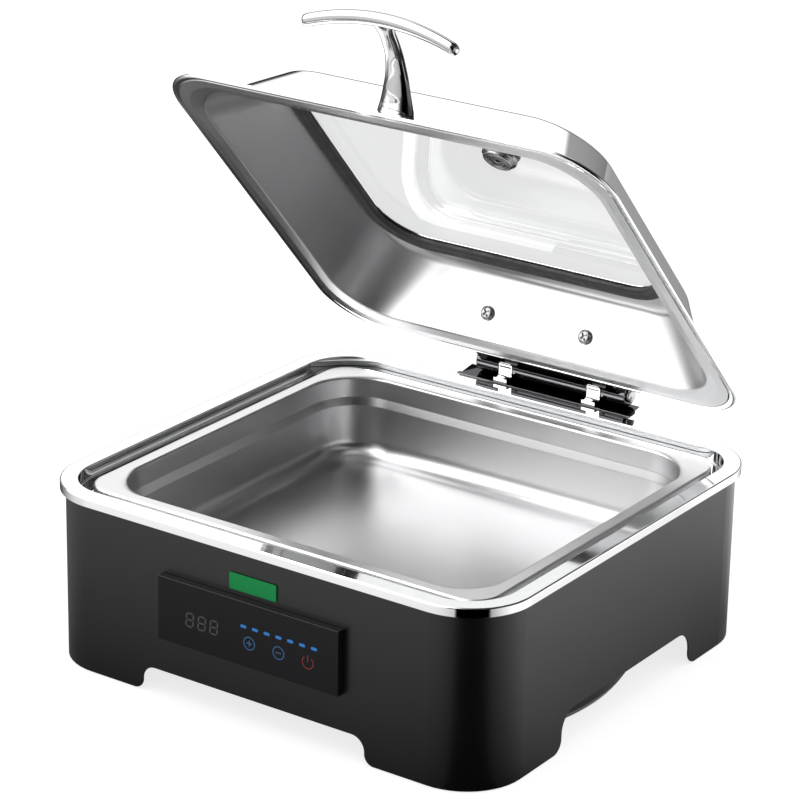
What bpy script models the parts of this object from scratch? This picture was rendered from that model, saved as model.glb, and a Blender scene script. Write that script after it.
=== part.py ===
"""Electric buffet server: a square warmer with a hinged chrome lid and a lift-out food pan.

The object stands on z = 0 with its control panel towards -Y and the lid hinge at +Y.
Lengths below are millimetres, measured from the middle of the housing.  MM turns them into
Blender's metres, and SHIFT_Y moves the finished object so that the origin is the middle of
its overall footprint.
"""
import math

import bmesh
import bpy
from mathutils import Matrix, Vector

MM = 0.001
SHIFT_Y = -14.05
GAP = 0.3                     # clearance between pieces that touch
CORNER_STEPS = 6              # facets in each rounded corner of a swept outline

# Housing: a steel tube with rounded corners, cut away below to leave four corner feet.
BODY_HALF_X = 197.0
BODY_HALF_Y = 184.1
BODY_RADIUS = 46.7
SHEET = 1.5
BODY_BOTTOM = 0.8
BODY_TOP = 139.4
LEDGE_LOW = 32.6              # inner ledge that the base plate is screwed to
LEDGE_WIDTH = 14.0
FRONT_CUT_HALF = 99.0
FRONT_CUT_HEIGHT = 20.8
FRONT_CUT_X = -2.0
SIDE_CUT_HALF = 88.0
SIDE_CUT_HEIGHT = 30.2
SIDE_CUT_Y = 4.0

# Chrome rim around the top of the housing, with the recess that the pan hangs in.
RIM_HALF_X = 201.25
RIM_HALF_Y = 188.35
RIM_RADIUS = 51.0
RIM_BOTTOM = 134.0
RIM_TOP = 141.2
RIM_WIDTH = 13.8
RECESS_FLOOR = 130.4
LEDGE_INSET = 32.0

# Food pan of the two-thirds gastronorm size (354 x 325 mm, 65 mm deep).
PAN_Y = 2.0
PAN_FLANGE_X = 177.0
PAN_FLANGE_Y = 162.5
PAN_TOP = 135.9
PAN_OPEN_X = 165.0
PAN_OPEN_Y = 151.2
PAN_OPEN_RADIUS = 42.0
PAN_DEPTH = 65.0
PAN_SHEET = 0.9

WATER_HALF_X = 169.5
WATER_HALF_Y = 156.0
WATER_TOP = 128.5
WATER_FLOOR = 54.8

# Base: a flat plate under the housing and a round tub below it, flattened front and back.
PLATE_LOW = 31.1
TUB_RADIUS = 183.0
TUB_HALF_Y = 125.0
TUB_Y = -12.0
TUB_LOW = 3.0
FOOT_PLACES = ((-125, -95), (125, -95), (-125, 72), (125, 72))
BASE_SCREW_PLACES = ((-160, -165), (160, -165), (-160, 165), (160, 165))

# Control panel: a shallow box that stands proud of the housing's front.
PANEL_X = -1.1
PANEL_HALF_X = 80.0
PANEL_LOW = 50.0
PANEL_HIGH = 100.0
PANEL_FRONT = -190.9
LENS_THICK = 1.4
LED_PITCH = 10.3
LED_FIRST_X = -3.8
LED_Z = 81.1
LED_SIZE = (5.2, 2.3)
KEY_X = (1.4, 27.2, 52.8)
KEY_Z = 69.2

# Hinge: its pin lies behind and above the rim's rear edge.
PIVOT_Y = 207.1
PIVOT_Z = 151.8
LID_REST_ANGLE = 47.5         # degrees that the lid stands open at rest
KNUCKLE_RADIUS = 9.0
PIN_RADIUS = 3.0
KNUCKLE_END = 69.0
BASE_KNUCKLE = (35.0, 47.0)   # from and to, either side of the middle

# Lid, described closed.  "Inset" runs inwards from the lip's outer edge.
LID_HALF_X = 190.0
LID_HALF_Y = 176.5
LID_Y = 1.0
LID_RADIUS = 46.0
LID_LOW = 142.2
LID_SHEET = 1.2
WALL_START = (22.8, 8.0)      # inset and height where the sloping wall begins
WALL_SLOPE = 1.68
BACK_START = (20.6, 8.0)      # the same on the rear side, whose wall is steeper
BACK_SLOPE = 2.0
LID_CROWN = 10.0
LID_DEPTH = 52.6
WINDOW_SIDE = 63.0            # insets of the window in the lid's roof
WINDOW_BACK = 80.0
GASKET_WIDTH = 11.5
HINGE_SCREW_X = 45.0
HINGE_SCREW_HEIGHT = 22.6
VENT_X = 46.0
VENT_Y = -69.0
STEM_HEIGHT = 23.4
BAR_HALF = 65.8
BAR_DROP = 9.0                # how far the ends of the bar lie below and behind its middle
BAR_SWEEP = 6.0


def material(name, colour, roughness, metallic):
    """Return a Principled material with the given base look."""
    made = bpy.data.materials.new(name)
    made.use_nodes = True
    shader = made.node_tree.nodes["Principled BSDF"]
    shader.inputs["Base Color"].default_value = (*colour, 1.0)
    shader.inputs["Roughness"].default_value = roughness
    shader.inputs["Metallic"].default_value = metallic
    made.diffuse_color = (*colour, 1.0)
    return made


def clear_scene():
    """Remove every object that the scene starts with."""
    for item in list(bpy.data.objects):
        bpy.data.objects.remove(item, do_unlink=True)


def add_object(name, mesh_data, look):
    """Close a bmesh into a named object with its faces pointing out."""
    bmesh.ops.recalc_face_normals(mesh_data, faces=mesh_data.faces)
    mesh = bpy.data.meshes.new(name)
    mesh_data.to_mesh(mesh)
    mesh_data.free()
    mesh.shade_smooth()
    mesh.set_sharp_from_angle(angle=math.radians(32))
    item = bpy.data.objects.new(name, mesh)
    bpy.context.scene.collection.objects.link(item)
    if look is not None:
        mesh.materials.append(look)
    return item


def loft(name, loops, look, ring=False):
    """Join equal loops of points with quads, closed into a ring or capped at both ends."""
    work = bmesh.new()
    rows = [[work.verts.new(Vector(point) * MM) for point in loop] for loop in loops]
    pairs = list(zip(rows, rows[1:]))
    if ring:
        pairs.append((rows[-1], rows[0]))
    for low, high in pairs:
        for here in range(len(low)):
            after = (here + 1) % len(low)
            work.faces.new((low[here], low[after], high[after], high[here]))
    if not ring:
        work.faces.new(list(reversed(rows[0])))
        work.faces.new(rows[-1])
    return add_object(name, work, look)


def rounded_loop(half_x, half_y, radius, z, centre_y=0.0):
    """Points around a rounded rectangle at height z."""
    points = []
    for corner in range(4):
        sign_x = (1, -1, -1, 1)[corner]
        sign_y = (1, 1, -1, -1)[corner]
        for step in range(CORNER_STEPS + 1):
            turn = math.pi / 2 * (corner + step / CORNER_STEPS)
            x = sign_x * (half_x - radius) + radius * math.cos(turn)
            y = sign_y * (half_y - radius) + radius * math.sin(turn)
            points.append((x, centre_y + y, z))
    return points


def swept_frame(name, profile, half_x, half_y, radius, look, centre_y=0.0, ring=True):
    """Sweep (inset, z) points around a rounded rectangle."""
    loops = []
    for inset, z in profile:
        corner = max(radius - inset, 2.0)
        loops.append(rounded_loop(half_x - inset, half_y - inset, corner, z, centre_y))
    return loft(name, loops, look, ring)


def circle_loop(radius, height, segments=20):
    """Points around a circle in a plane across Z."""
    turns = [2 * math.pi * step / segments for step in range(segments)]
    return [(radius * math.cos(turn), radius * math.sin(turn), height) for turn in turns]


def turned(name, profile, look, segments=20, ring=False):
    """Turn (radius, height) points about Z."""
    return loft(name, [circle_loop(r, z, segments) for r, z in profile], look, ring)


def box(name, low, high, look):
    """A block between two corners."""
    loops = []
    for z in (low[2], high[2]):
        loops.append([(low[0], low[1], z), (high[0], low[1], z),
                      (high[0], high[1], z), (low[0], high[1], z)])
    return loft(name, loops, look)


def prism_x(name, outline, x_low, x_high, look):
    """Extrude a (y, z) outline along X."""
    return loft(name, [[(x, y, z) for y, z in outline] for x in (x_low, x_high)], look)


def place(item, matrix):
    """Move an object's mesh by a matrix whose lengths are millimetres."""
    scaled = matrix.copy()
    scaled.translation = scaled.translation * MM
    item.data.transform(scaled)
    return item


def combine(target, tool, operation):
    """Boolean a tool into a target, then discard the tool."""
    step = target.modifiers.new(operation.lower(), "BOOLEAN")
    step.operation = operation
    step.solver = "EXACT"
    step.object = tool
    bpy.context.view_layer.update()
    evaluated = target.evaluated_get(bpy.context.evaluated_depsgraph_get())
    result = bpy.data.meshes.new_from_object(evaluated)
    target.modifiers.clear()
    target.data = result
    bpy.data.objects.remove(tool, do_unlink=True)
    result.shade_smooth()
    result.set_sharp_from_angle(angle=math.radians(32))
    return target


def cut(target, tool):
    """Subtract a tool from a target."""
    return combine(target, tool, "DIFFERENCE")


def join(target, tool):
    """Unite a tool with a target."""
    return combine(target, tool, "UNION")


def axis_matrix(origin, direction):
    """Matrix that carries +Z onto a direction at an origin."""
    turn = Vector((0, 0, 1)).rotation_difference(Vector(direction)).to_matrix().to_4x4()
    return Matrix.Translation(Vector(origin)) @ turn


def screw(name, origin, direction, look, head=(4.0, 2.2), shank=(2.0, 9.0)):
    """Pan-head screw: head above the origin along direction, shank below it."""
    head_radius, head_height = head
    shank_radius, shank_length = shank
    profile = [(shank_radius * 0.7, -shank_length), (shank_radius, -shank_length + 1.0),
               (shank_radius, GAP), (head_radius, GAP),
               (head_radius * 0.96, head_height * 0.6), (head_radius * 0.7, head_height)]
    item = turned(name, profile, look, segments=12)
    return place(item, axis_matrix(origin, direction))


def bore(target, origin, direction, radius, depth, segments=12):
    """Drill a round hole from a point, both ways along a direction."""
    tool = turned("bore", [(radius, -depth), (radius, depth)], None, segments)
    return cut(target, place(tool, axis_matrix(origin, direction)))


# ---------------------------------------------------------------- housing and rim

def foot_cut_outline(half, height, low, top_radius, foot_radius):
    """Outline of a cut between feet, whose ends are S-shaped.

    A small arc rounds the foot's toe and a larger arc meets the top of the cut.
    """
    steps = 4
    toe = []
    for step in range(steps + 1):
        turn = math.pi / 2 * step / steps
        toe.append((half + foot_radius - foot_radius * math.sin(turn),
                    low + foot_radius - foot_radius * math.cos(turn)))
    crown = []
    for step in range(steps + 1):
        turn = math.pi / 2 * step / steps
        crown.append((half - top_radius + top_radius * math.cos(turn),
                      height - top_radius + top_radius * math.sin(turn)))
    right = toe + crown
    outline = right + [(-along, z) for along, z in reversed(right)]
    below = low - 5.0
    outline += [(-(half + foot_radius), below), (half + foot_radius, below)]
    return outline


def build_housing(paint):
    """Painted shell with its inner ledge, foot cut-outs, cable window and inlet hole."""
    profile = [(0, BODY_BOTTOM), (0, BODY_TOP), (SHEET, BODY_TOP),
               (SHEET, LEDGE_LOW + SHEET), (LEDGE_WIDTH, LEDGE_LOW + SHEET),
               (LEDGE_WIDTH, LEDGE_LOW), (SHEET, LEDGE_LOW), (SHEET, BODY_BOTTOM)]
    shell = swept_frame("housing_shell", profile, BODY_HALF_X, BODY_HALF_Y, BODY_RADIUS, paint)
    front = [(FRONT_CUT_X + along, z) for along, z in
             foot_cut_outline(FRONT_CUT_HALF, FRONT_CUT_HEIGHT, BODY_BOTTOM, 11.0, 8.0)]
    side = [(SIDE_CUT_Y + along, z) for along, z in
            foot_cut_outline(SIDE_CUT_HALF, SIDE_CUT_HEIGHT, BODY_BOTTOM, 16.0, 10.0)]
    reach = 10.0
    for sign in (-1, 1):
        y_low, y_high = sorted((sign * (BODY_HALF_Y + reach), sign * (BODY_HALF_Y - reach)))
        loops = [[(x, y, z) for x, z in front] for y in (y_low, y_high)]
        cut(shell, loft("front_cut", loops, None))
        x_low, x_high = sorted((sign * (BODY_HALF_X + reach), sign * (BODY_HALF_X - reach)))
        cut(shell, prism_x("side_cut", side, x_low, x_high, None))
    cut(shell, box("cable_window", (-12, -195, 62), (12, -175, 74), None))
    cut(shell, box("inlet_window", (-134, 175, 60), (-106, 195, 80), None))
    for x, y in BASE_SCREW_PLACES:
        bore(shell, (x, y, LEDGE_LOW), (0, 0, 1), 2.3, 5)
    for x in BRACKET_SCREW_X:
        bore(shell, (x, BODY_HALF_Y, BRACKET_SCREW_Z), (0, 1, 0), 2.3, 5)
    return shell


def build_rim(chrome):
    """Bent-sheet rim: outer skirt, flat top, recess wall and the ledge under the pan."""
    sheet = 1.4
    edge = 1.0
    wall = RIM_WIDTH - sheet
    profile = [(0, RIM_BOTTOM), (0, RIM_TOP - edge), (0.3 * edge, RIM_TOP - 0.3 * edge),
               (edge, RIM_TOP), (RIM_WIDTH - edge, RIM_TOP),
               (RIM_WIDTH - 0.3 * edge, RIM_TOP - 0.3 * edge), (RIM_WIDTH, RIM_TOP - edge),
               (RIM_WIDTH, RECESS_FLOOR), (LEDGE_INSET, RECESS_FLOOR),
               (LEDGE_INSET, RECESS_FLOOR - sheet), (wall, RECESS_FLOOR - sheet),
               (wall, RIM_TOP - sheet), (sheet, RIM_TOP - sheet), (sheet, RIM_BOTTOM)]
    return swept_frame("rim_frame", profile, RIM_HALF_X, RIM_HALF_Y, RIM_RADIUS, chrome)


# ---------------------------------------------------------------- pans

def build_food_pan(steel):
    """Gastronorm pan: turned-down flange, stacking shoulder and a rounded floor."""
    open_inset = PAN_FLANGE_X - PAN_OPEN_X
    floor = PAN_TOP - PAN_DEPTH
    inner = [(open_inset - 2.0, PAN_TOP), (open_inset - 0.6, PAN_TOP - 0.5),
             (open_inset, PAN_TOP - 2.0), (open_inset + 0.8, PAN_TOP - 18.0),
             (open_inset + 4.3, PAN_TOP - 22.0), (open_inset + 6.0, floor + 16.0)]
    fillet = 14.0
    centre = open_inset + 6.4 + fillet
    for step in range(1, 5):
        turn = math.pi / 2 * step / 4
        inner.append((centre - fillet * math.cos(turn), floor + fillet - fillet * math.sin(turn)))
    thick = PAN_SHEET
    outer = []
    for step in range(4, 0, -1):
        turn = math.pi / 2 * step / 4
        outer.append((centre - (fillet + thick) * math.cos(turn),
                      floor + fillet - (fillet + thick) * math.sin(turn)))
    outer += [(open_inset + 6.0 - thick, floor + 16.0),
              (open_inset + 4.3 - thick, PAN_TOP - 22.4),
              (open_inset + 0.8 - thick, PAN_TOP - 18.4),
              (open_inset - thick, PAN_TOP - 2.4), (open_inset - 2.6, PAN_TOP - thick)]
    edge = [(thick, PAN_TOP - thick), (thick, RECESS_FLOOR + GAP), (0, RECESS_FLOOR + GAP),
            (0, PAN_TOP - 0.8), (0.8, PAN_TOP)]
    flange_radius = 22.0
    loops = []
    for inset, z in list(reversed(inner)) + list(reversed(edge)) + list(reversed(outer)):
        if inset <= 1.0:
            corner = flange_radius - inset
        else:
            corner = PAN_OPEN_RADIUS - 0.5 * (inset - open_inset)
        loops.append(rounded_loop(PAN_FLANGE_X - inset, PAN_FLANGE_Y - inset * OPEN_RATIO,
                                  corner, z, PAN_Y))
    return loft("food_pan", loops, steel)


OPEN_RATIO = (PAN_FLANGE_Y - PAN_OPEN_Y) / (PAN_FLANGE_X - PAN_OPEN_X)


def build_water_pan(steel):
    """Deep pan that holds the water bath under the food pan."""
    thick = 1.0
    flange = 9.0
    inner = [(-flange, WATER_TOP), (0, WATER_TOP), (1.0, WATER_TOP - 2), (2.0, WATER_FLOOR + 14),
             (5.0, WATER_FLOOR + 6), (14.0, WATER_FLOOR + thick)]
    outer = [(14.0, WATER_FLOOR), (4.4, WATER_FLOOR + 5.2), (1.0, WATER_FLOOR + 14),
             (0, WATER_TOP - 2.4), (-1, WATER_TOP - thick), (-flange, WATER_TOP - thick)]
    profile = list(reversed(inner)) + list(reversed(outer))
    return swept_frame("water_pan", profile, WATER_HALF_X, WATER_HALF_Y, 44.0, steel,
                       centre_y=PAN_Y, ring=False)


# ---------------------------------------------------------------- heating and base

def build_heater(aluminium, steel, board, brass):
    """Heating plate, looped tubular element, insulation, sensor and thermal cut-out."""
    box("heating_plate", (-130, -108, 50.3), (130, 112, 54.3), aluminium)
    bend = 30.0
    run = 90.0
    path = []
    for row, y in enumerate((-90, -30, 30, 90)):
        sign = 1 if row % 2 == 0 else -1
        path.append((-sign * run, y))
        if y < 90:
            for step in range(1, 6):
                turn = math.pi * step / 6 - math.pi / 2
                path.append((sign * (run + bend * math.cos(turn)), y + bend + bend * math.sin(turn)))
        else:
            path.append((sign * run, y))
    tube(path, 46.6, 3.2, "heating_element", steel)
    box("insulation_board", (-130, -108, 32.9), (130, 112, 42.9), board)
    turned_at("temperature_sensor", [(4, 43.2), (4, 49.6), (3, 50.0)], (0, 0), brass, 14)
    turned_at("thermal_cutout", [(9, 43.2), (9, 47), (6, 48.5), (6, 50.0)], (-60, 60), board, 16)


def turned_at(name, profile, place_xy, look, segments):
    """A turned piece standing at a place on the floor plan."""
    item = turned(name, profile, look, segments)
    return place(item, Matrix.Translation((place_xy[0], place_xy[1], 0)))


def tube(path, z, radius, name, look):
    """Round tube along a flat path of (x, y) points."""
    sides = 8
    loops = []
    for index, point in enumerate(path):
        before = Vector(path[max(index - 1, 0)])
        after = Vector(path[min(index + 1, len(path) - 1)])
        ahead = (after - before).normalized()
        across = Vector((ahead.y, -ahead.x))
        loop = []
        for step in range(sides):
            turn = 2 * math.pi * step / sides
            flat = Vector(point) + across * radius * math.cos(turn)
            loop.append((flat.x, flat.y, z + radius * math.sin(turn)))
        loops.append(loop)
    return loft(name, loops, look)


def tub_loop(shrink, z):
    """Outline of the base tub: a circle cut flat at front and back."""
    radius = TUB_RADIUS - shrink
    half = TUB_HALF_Y - shrink
    limit = math.asin(half / radius)
    steps = 14
    points = []
    for side in (0, 1):
        for step in range(steps + 1):
            turn = side * math.pi - limit + 2 * limit * step / steps
            points.append((radius * math.cos(turn), TUB_Y + radius * math.sin(turn), z))
    return points


def build_base(paint, plastic, rubber, steel):
    """Base plate, the glossy tub under it, four rubber feet and the plate's screws."""
    inset = SHEET + 0.5
    plate = loft("base_plate", [rounded_loop(BODY_HALF_X - inset, BODY_HALF_Y - inset,
                                             BODY_RADIUS - inset, z)
                                for z in (PLATE_LOW, PLATE_LOW + 1.2)], paint)
    for index, (x, y) in enumerate(BASE_SCREW_PLACES, 1):
        bore(plate, (x, y, PLATE_LOW), (0, 0, 1), 2.3, 4)
        screw("base_screw_%d" % index, (x, y, PLATE_LOW), (0, 0, -1), steel)
    wall = 2.0
    top = PLATE_LOW - GAP
    loops = [tub_loop(14 + wall, TUB_LOW + wall), tub_loop(6, TUB_LOW + 5.5),
             tub_loop(wall, TUB_LOW + 13), tub_loop(wall, top), tub_loop(0, top),
             tub_loop(0, TUB_LOW + 12), tub_loop(1.6, TUB_LOW + 6.5), tub_loop(5.5, TUB_LOW + 2),
             tub_loop(12, TUB_LOW)]
    loft("base_tub", loops, plastic)
    for index, spot in enumerate(FOOT_PLACES, 1):
        profile = [(8.0, 0), (9.0, 0.6), (9.0, TUB_LOW - GAP)]
        turned_at("rubber_foot_%d" % index, profile, spot, rubber, 20)


# ---------------------------------------------------------------- controls and inlet

def build_panel(plastic, glass, board, blue, badge):
    """Control box on the front: body, black lens, circuit board, light bars and keys."""
    lens_back = PANEL_FRONT + LENS_THICK
    back = -BODY_HALF_Y - GAP
    left, right = PANEL_X - PANEL_HALF_X, PANEL_X + PANEL_HALF_X
    body = box("panel_body", (left, lens_back + GAP, PANEL_LOW), (right, back, PANEL_HIGH),
               plastic)
    cut(body, box("hollow", (left + 2, lens_back - 1, PANEL_LOW + 2),
                  (right - 2, back - 1.2, PANEL_HIGH - 2), None))
    cut(body, box("cable_slot", (-12, back - 4, 62), (12, back + 4, 74), None))
    lens = box("panel_lens", (left, PANEL_FRONT, PANEL_LOW), (right, lens_back, PANEL_HIGH),
               glass)
    board_front = lens_back + 2.0
    box("control_board", (-74, board_front, 54), (74, board_front + 1.2, 96), board)
    for index in range(7):
        x = LED_FIRST_X + LED_PITCH * index
        low = (x - LED_SIZE[0] / 2, PANEL_FRONT, LED_Z - LED_SIZE[1] / 2)
        high = (x + LED_SIZE[0] / 2, board_front - GAP, LED_Z + LED_SIZE[1] / 2)
        play = 0.05
        opening = box("slot", (low[0] - play, low[1] - 2, low[2] - play),
                      (high[0] + play, lens_back + 2, high[2] + play), None)
        cut(lens, opening)
        box("light_bar_%d" % (index + 1), low, high, blue)
    box("display_module", (-60, lens_back + 0.4, 62), (-20, board_front - GAP, 80), glass)
    for name, x in zip(("plus", "minus", "power"), KEY_X):
        pad = turned("touch_pad_" + name, [(5.0, 0), (5.0, 1.2)], board, 16)
        place(pad, axis_matrix((x, lens_back + 0.4, KEY_Z), (0, 1, 0)))
    box("badge_plate", (-20.6, -BODY_HALF_Y - GAP - 0.8, 104.2),
        (20.6, -BODY_HALF_Y - GAP, 117.0), badge)


def build_inlet(plastic, steel):
    """Mains inlet socket in the rear wall, with its two screws."""
    x, z = -120.0, 70.0
    wall = BODY_HALF_Y + GAP
    socket = box("power_inlet", (x - 25, wall, z - 12.5), (x + 25, wall + 3, z + 12.5), plastic)
    join(socket, box("back", (x - 13.5, wall - 22, z - 9.5), (x + 13.5, wall + 1, z + 9.5), None))
    cut(socket, box("mouth", (x - 12, wall - 18, z - 8), (x + 12, wall + 6, z + 8), None))
    for pin_x in (-7, 0, 7):
        pin = box("pin", (x + pin_x - 1, wall - 20, z - 2), (x + pin_x + 1, wall - 3, z + 2), None)
        join(socket, pin)
    for index, side in enumerate((-1, 1), 1):
        spot = (x + side * 20, wall + 3, z)
        bore(socket, spot, (0, 1, 0), 1.8, 6)
        screw("inlet_screw_%d" % index, spot, (0, 1, 0), steel, (3.2, 1.8), (1.5, 2.8))


# ---------------------------------------------------------------- hinge

BRACKET_SCREW_X = (-62.0, -21.0, 21.0, 62.0)
BRACKET_SCREW_Z = 113.0
BRACKET_FACE_Y = 191.9
BRACKET_HALF_X = 81.0
BRACKET_TOP = 142.2
SHELF_LOW = 139.4             # the bracket's shelf runs back under the barrel
SHELF_BACK = 213.0
LUG_TOP = 145.4


def knuckle(x_low, x_high):
    """One solid barrel piece of the hinge about the pin's axis."""
    piece = turned("knuckle", [(KNUCKLE_RADIUS, x_low), (KNUCKLE_RADIUS, x_high)], None, 28)
    return place(piece, axis_matrix((0, PIVOT_Y, PIVOT_Z), (1, 0, 0)))


def drill_pin_hole(target):
    """Clear the pin's hole through a hinge piece."""
    return bore(target, (0, PIVOT_Y, PIVOT_Z), (1, 0, 0), PIN_RADIUS + GAP, 100, 20)


def build_hinge_bracket(chrome, steel):
    """Fixed half of the hinge: a plate on the rear wall with a shelf, knuckles and gussets."""
    pad_front = BODY_HALF_Y + GAP
    pad_top = RIM_BOTTOM - 1.0
    leaf_front = RIM_HALF_Y + 0.6
    outline = [(pad_front, 98), (BRACKET_FACE_Y, 98), (BRACKET_FACE_Y, SHELF_LOW),
               (SHELF_BACK, SHELF_LOW), (SHELF_BACK, BRACKET_TOP), (leaf_front, BRACKET_TOP),
               (leaf_front, pad_top), (pad_front, pad_top)]
    bracket = prism_x("hinge_bracket", outline, -BRACKET_HALF_X, BRACKET_HALF_X, chrome)
    first, last = BASE_KNUCKLE
    web = [(BRACKET_FACE_Y - 1, 132), (PIVOT_Y - 3, 138), (PIVOT_Y + 5, PIVOT_Z - 7.4),
           (PIVOT_Y + 5, LUG_TOP), (BRACKET_FACE_Y - 1, LUG_TOP)]
    gusset = [(leaf_front, 141.6), (219, 146.4), (219, 124), (191, 101), (leaf_front, 101)]
    for sign in (-1, 1):
        x_low, x_high = sorted((sign * first, sign * last))
        join(bracket, prism_x("web", web, x_low, x_high, None))
        join(bracket, knuckle(x_low, x_high))
        x_low, x_high = sorted((sign * (BRACKET_HALF_X - 2.5), sign * BRACKET_HALF_X))
        join(bracket, prism_x("gusset", gusset, x_low - 0.01, x_high + 0.01, None))
    drill_pin_hole(bracket)
    for index, x in enumerate(BRACKET_SCREW_X, 1):
        spot = (x, BRACKET_FACE_Y, BRACKET_SCREW_Z)
        bore(bracket, spot, (0, 1, 0), 2.3, 12)
        screw("bracket_screw_%d" % index, spot, (0, 1, 0), steel, (4.2, 2.4), (2.0, 14))
    return bracket


def lid_point(inset, height):
    """(y, z) on the rear of the closed lid for an inset and a height above the lip."""
    return (LID_Y + LID_HALF_Y - inset, LID_LOW + height)


def wall_point(start, slope, height, distance):
    """(inset, height) at a distance outside a sloping wall, level with a height on it."""
    length = math.hypot(slope, 1.0)
    inset = start[0] + (height - start[1]) / slope
    return (inset - distance * slope / length, height + distance / length)


def wall_inward(slope, towards_back):
    """Direction into the lid through a sloping wall, in closed-lid coordinates."""
    length = math.hypot(slope, 1.0)
    sign = 1.0 if towards_back else -1.0
    return (0.0, sign * slope / length, -1.0 / length)


def build_hinge_leaf(chrome):
    """Moving half of the hinge: a bent plate on the lid's rear wall with three knuckles."""
    thick = 2.2
    low = 4.6
    near = wall_point(BACK_START, BACK_SLOPE, 34.0, 0.4)
    far = wall_point(BACK_START, BACK_SLOPE, 34.0, 0.4 + thick)
    run = 1.0 / BACK_SLOPE
    inner_bend = near[0] - (near[1] - low - 2.0) * run
    outer_bend = far[0] - (far[1] - low - thick) * run
    corners = [(-27.0, low), (inner_bend - 3.0, low), (inner_bend, low + 2.0), near, far,
               (outer_bend, low + thick), (-27.0, low + thick)]
    outline = [lid_point(*corner) for corner in corners]
    leaf = prism_x("hinge_leaf", outline, -64.0, 64.0, chrome)
    first, last = BASE_KNUCKLE
    spans = ((-KNUCKLE_END, -last - GAP), (-first + GAP, first - GAP), (last + GAP, KNUCKLE_END))
    for x_low, x_high in spans:
        join(leaf, knuckle(x_low, x_high))
    for sign in (-1, 1):
        x_low, x_high = sorted((sign * (first - GAP), sign * (last + GAP)))
        cut(leaf, box("notch", (x_low, PIVOT_Y - 10.6, 130), (x_high, 220, 170), None))
    drill_pin_hole(leaf)
    return leaf


def hinge_screw_frame(sign, distance):
    """Origin and inward direction of a hinge screw, at a distance outside the rear wall."""
    y, z = lid_point(*wall_point(BACK_START, BACK_SLOPE, HINGE_SCREW_HEIGHT, distance))
    return (sign * HINGE_SCREW_X, y, z), wall_inward(BACK_SLOPE, False)


def build_hinge_fasteners(leaf, shell, steel):
    """Two screws through the lid's rear wall and the leaf, with nuts outside, and the pin."""
    pieces = []
    for index, sign in enumerate((-1, 1), 1):
        origin, inward = hinge_screw_frame(sign, -LID_SHEET - 0.1)
        pieces.append(screw("hinge_screw_%d" % index, origin, inward, steel,
                            (5.6, 3.0), (2.0, 10)))
        bore(shell, origin, inward, 2.3, 5)
        bore(leaf, origin, inward, 2.3, 12)
        nut_origin, _ = hinge_screw_frame(sign, 0.4 + 2.2 + GAP)
        outward = tuple(-part for part in inward)
        nut = turned("hinge_nut_%d" % index, [(2.3, 0), (4.2, 0), (4.2, 3.2), (2.3, 3.2)],
                     steel, 6, ring=True)
        pieces.append(place(nut, axis_matrix(nut_origin, outward)))
    end = KNUCKLE_END + GAP
    profile = [(5.0, -end - 2), (5.6, -end - 1.4), (5.6, -end), (PIN_RADIUS, -end),
               (PIN_RADIUS, end), (5.6, end), (5.6, end + 1.4), (5.0, end + 2)]
    pin = turned("hinge_pin", profile, steel, 20)
    pieces.append(place(pin, axis_matrix((0, PIVOT_Y, PIVOT_Z), (1, 0, 0))))
    return pieces


# ---------------------------------------------------------------- lid

def lid_section():
    """Outer and inner (inset, height) points of the lid's side wall, lip to roof."""
    slope = math.atan(WALL_SLOPE)
    centre_height = LID_DEPTH - LID_CROWN
    wall_top = wall_point(WALL_START, WALL_SLOPE,
                          centre_height + LID_CROWN * math.cos(slope), 0.0)
    centre_inset = wall_top[0] + LID_CROWN * math.sin(slope)
    outer = [(0.0, 0.7), (0.0, 2.1), (0.7, 2.8), (11.5, 2.8), (17.0, 3.6), (20.4, 5.3),
             WALL_START]
    inner = [(0.7, 0.0), (11.0, 0.0), (13.0, 1.0), (17.4, 2.2), (21.6, 4.6),
             wall_point(WALL_START, WALL_SLOPE, WALL_START[1], -LID_SHEET)]
    steps = 5
    for step in range(steps + 1):
        turn = slope * (1 - step / steps)
        for line, radius in ((outer, LID_CROWN), (inner, LID_CROWN - LID_SHEET)):
            line.append((centre_inset - radius * math.sin(turn),
                         centre_height + radius * math.cos(turn)))
    return outer, inner


def back_lead(height):
    """How much further out the steeper rear wall stands than the side walls at a height."""
    lead_low = WALL_START[0] - BACK_START[0]
    lip, top = 2.8, 47.7
    if height <= lip:
        return 0.0
    if height <= WALL_START[1]:
        return lead_low * (height - lip) / (WALL_START[1] - lip)
    rise = min(height, top) - WALL_START[1]
    return lead_low + rise / WALL_SLOPE - rise / BACK_SLOPE


def lid_loop(inset, height):
    """Rounded outline of the lid at an inset and a height; corners stay generous inwards."""
    lead = back_lead(height)
    return rounded_loop(LID_HALF_X - inset, LID_HALF_Y - inset + lead / 2,
                        LID_RADIUS - 0.14 * inset, LID_LOW + height, LID_Y + lead / 2)


def window_loop(grow, height):
    """Outline of the lid's window, grown outwards by a distance."""
    front = LID_Y - LID_HALF_Y + WINDOW_SIDE
    back = LID_Y + LID_HALF_Y - WINDOW_BACK
    return rounded_loop(LID_HALF_X - WINDOW_SIDE + grow, (back - front) / 2 + grow,
                        36.0 + grow, LID_LOW + height, (front + back) / 2)


def build_lid_shell(chrome):
    """Drawn lid: flat lip, sloping walls and a roof with a window."""
    outer, inner = lid_section()
    loops = [lid_loop(*point) for point in outer]
    loops += [window_loop(0, LID_DEPTH), window_loop(0, LID_DEPTH - LID_SHEET)]
    loops += [lid_loop(*point) for point in reversed(inner)]
    return loft("lid_shell", loops, chrome, ring=True)


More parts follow.
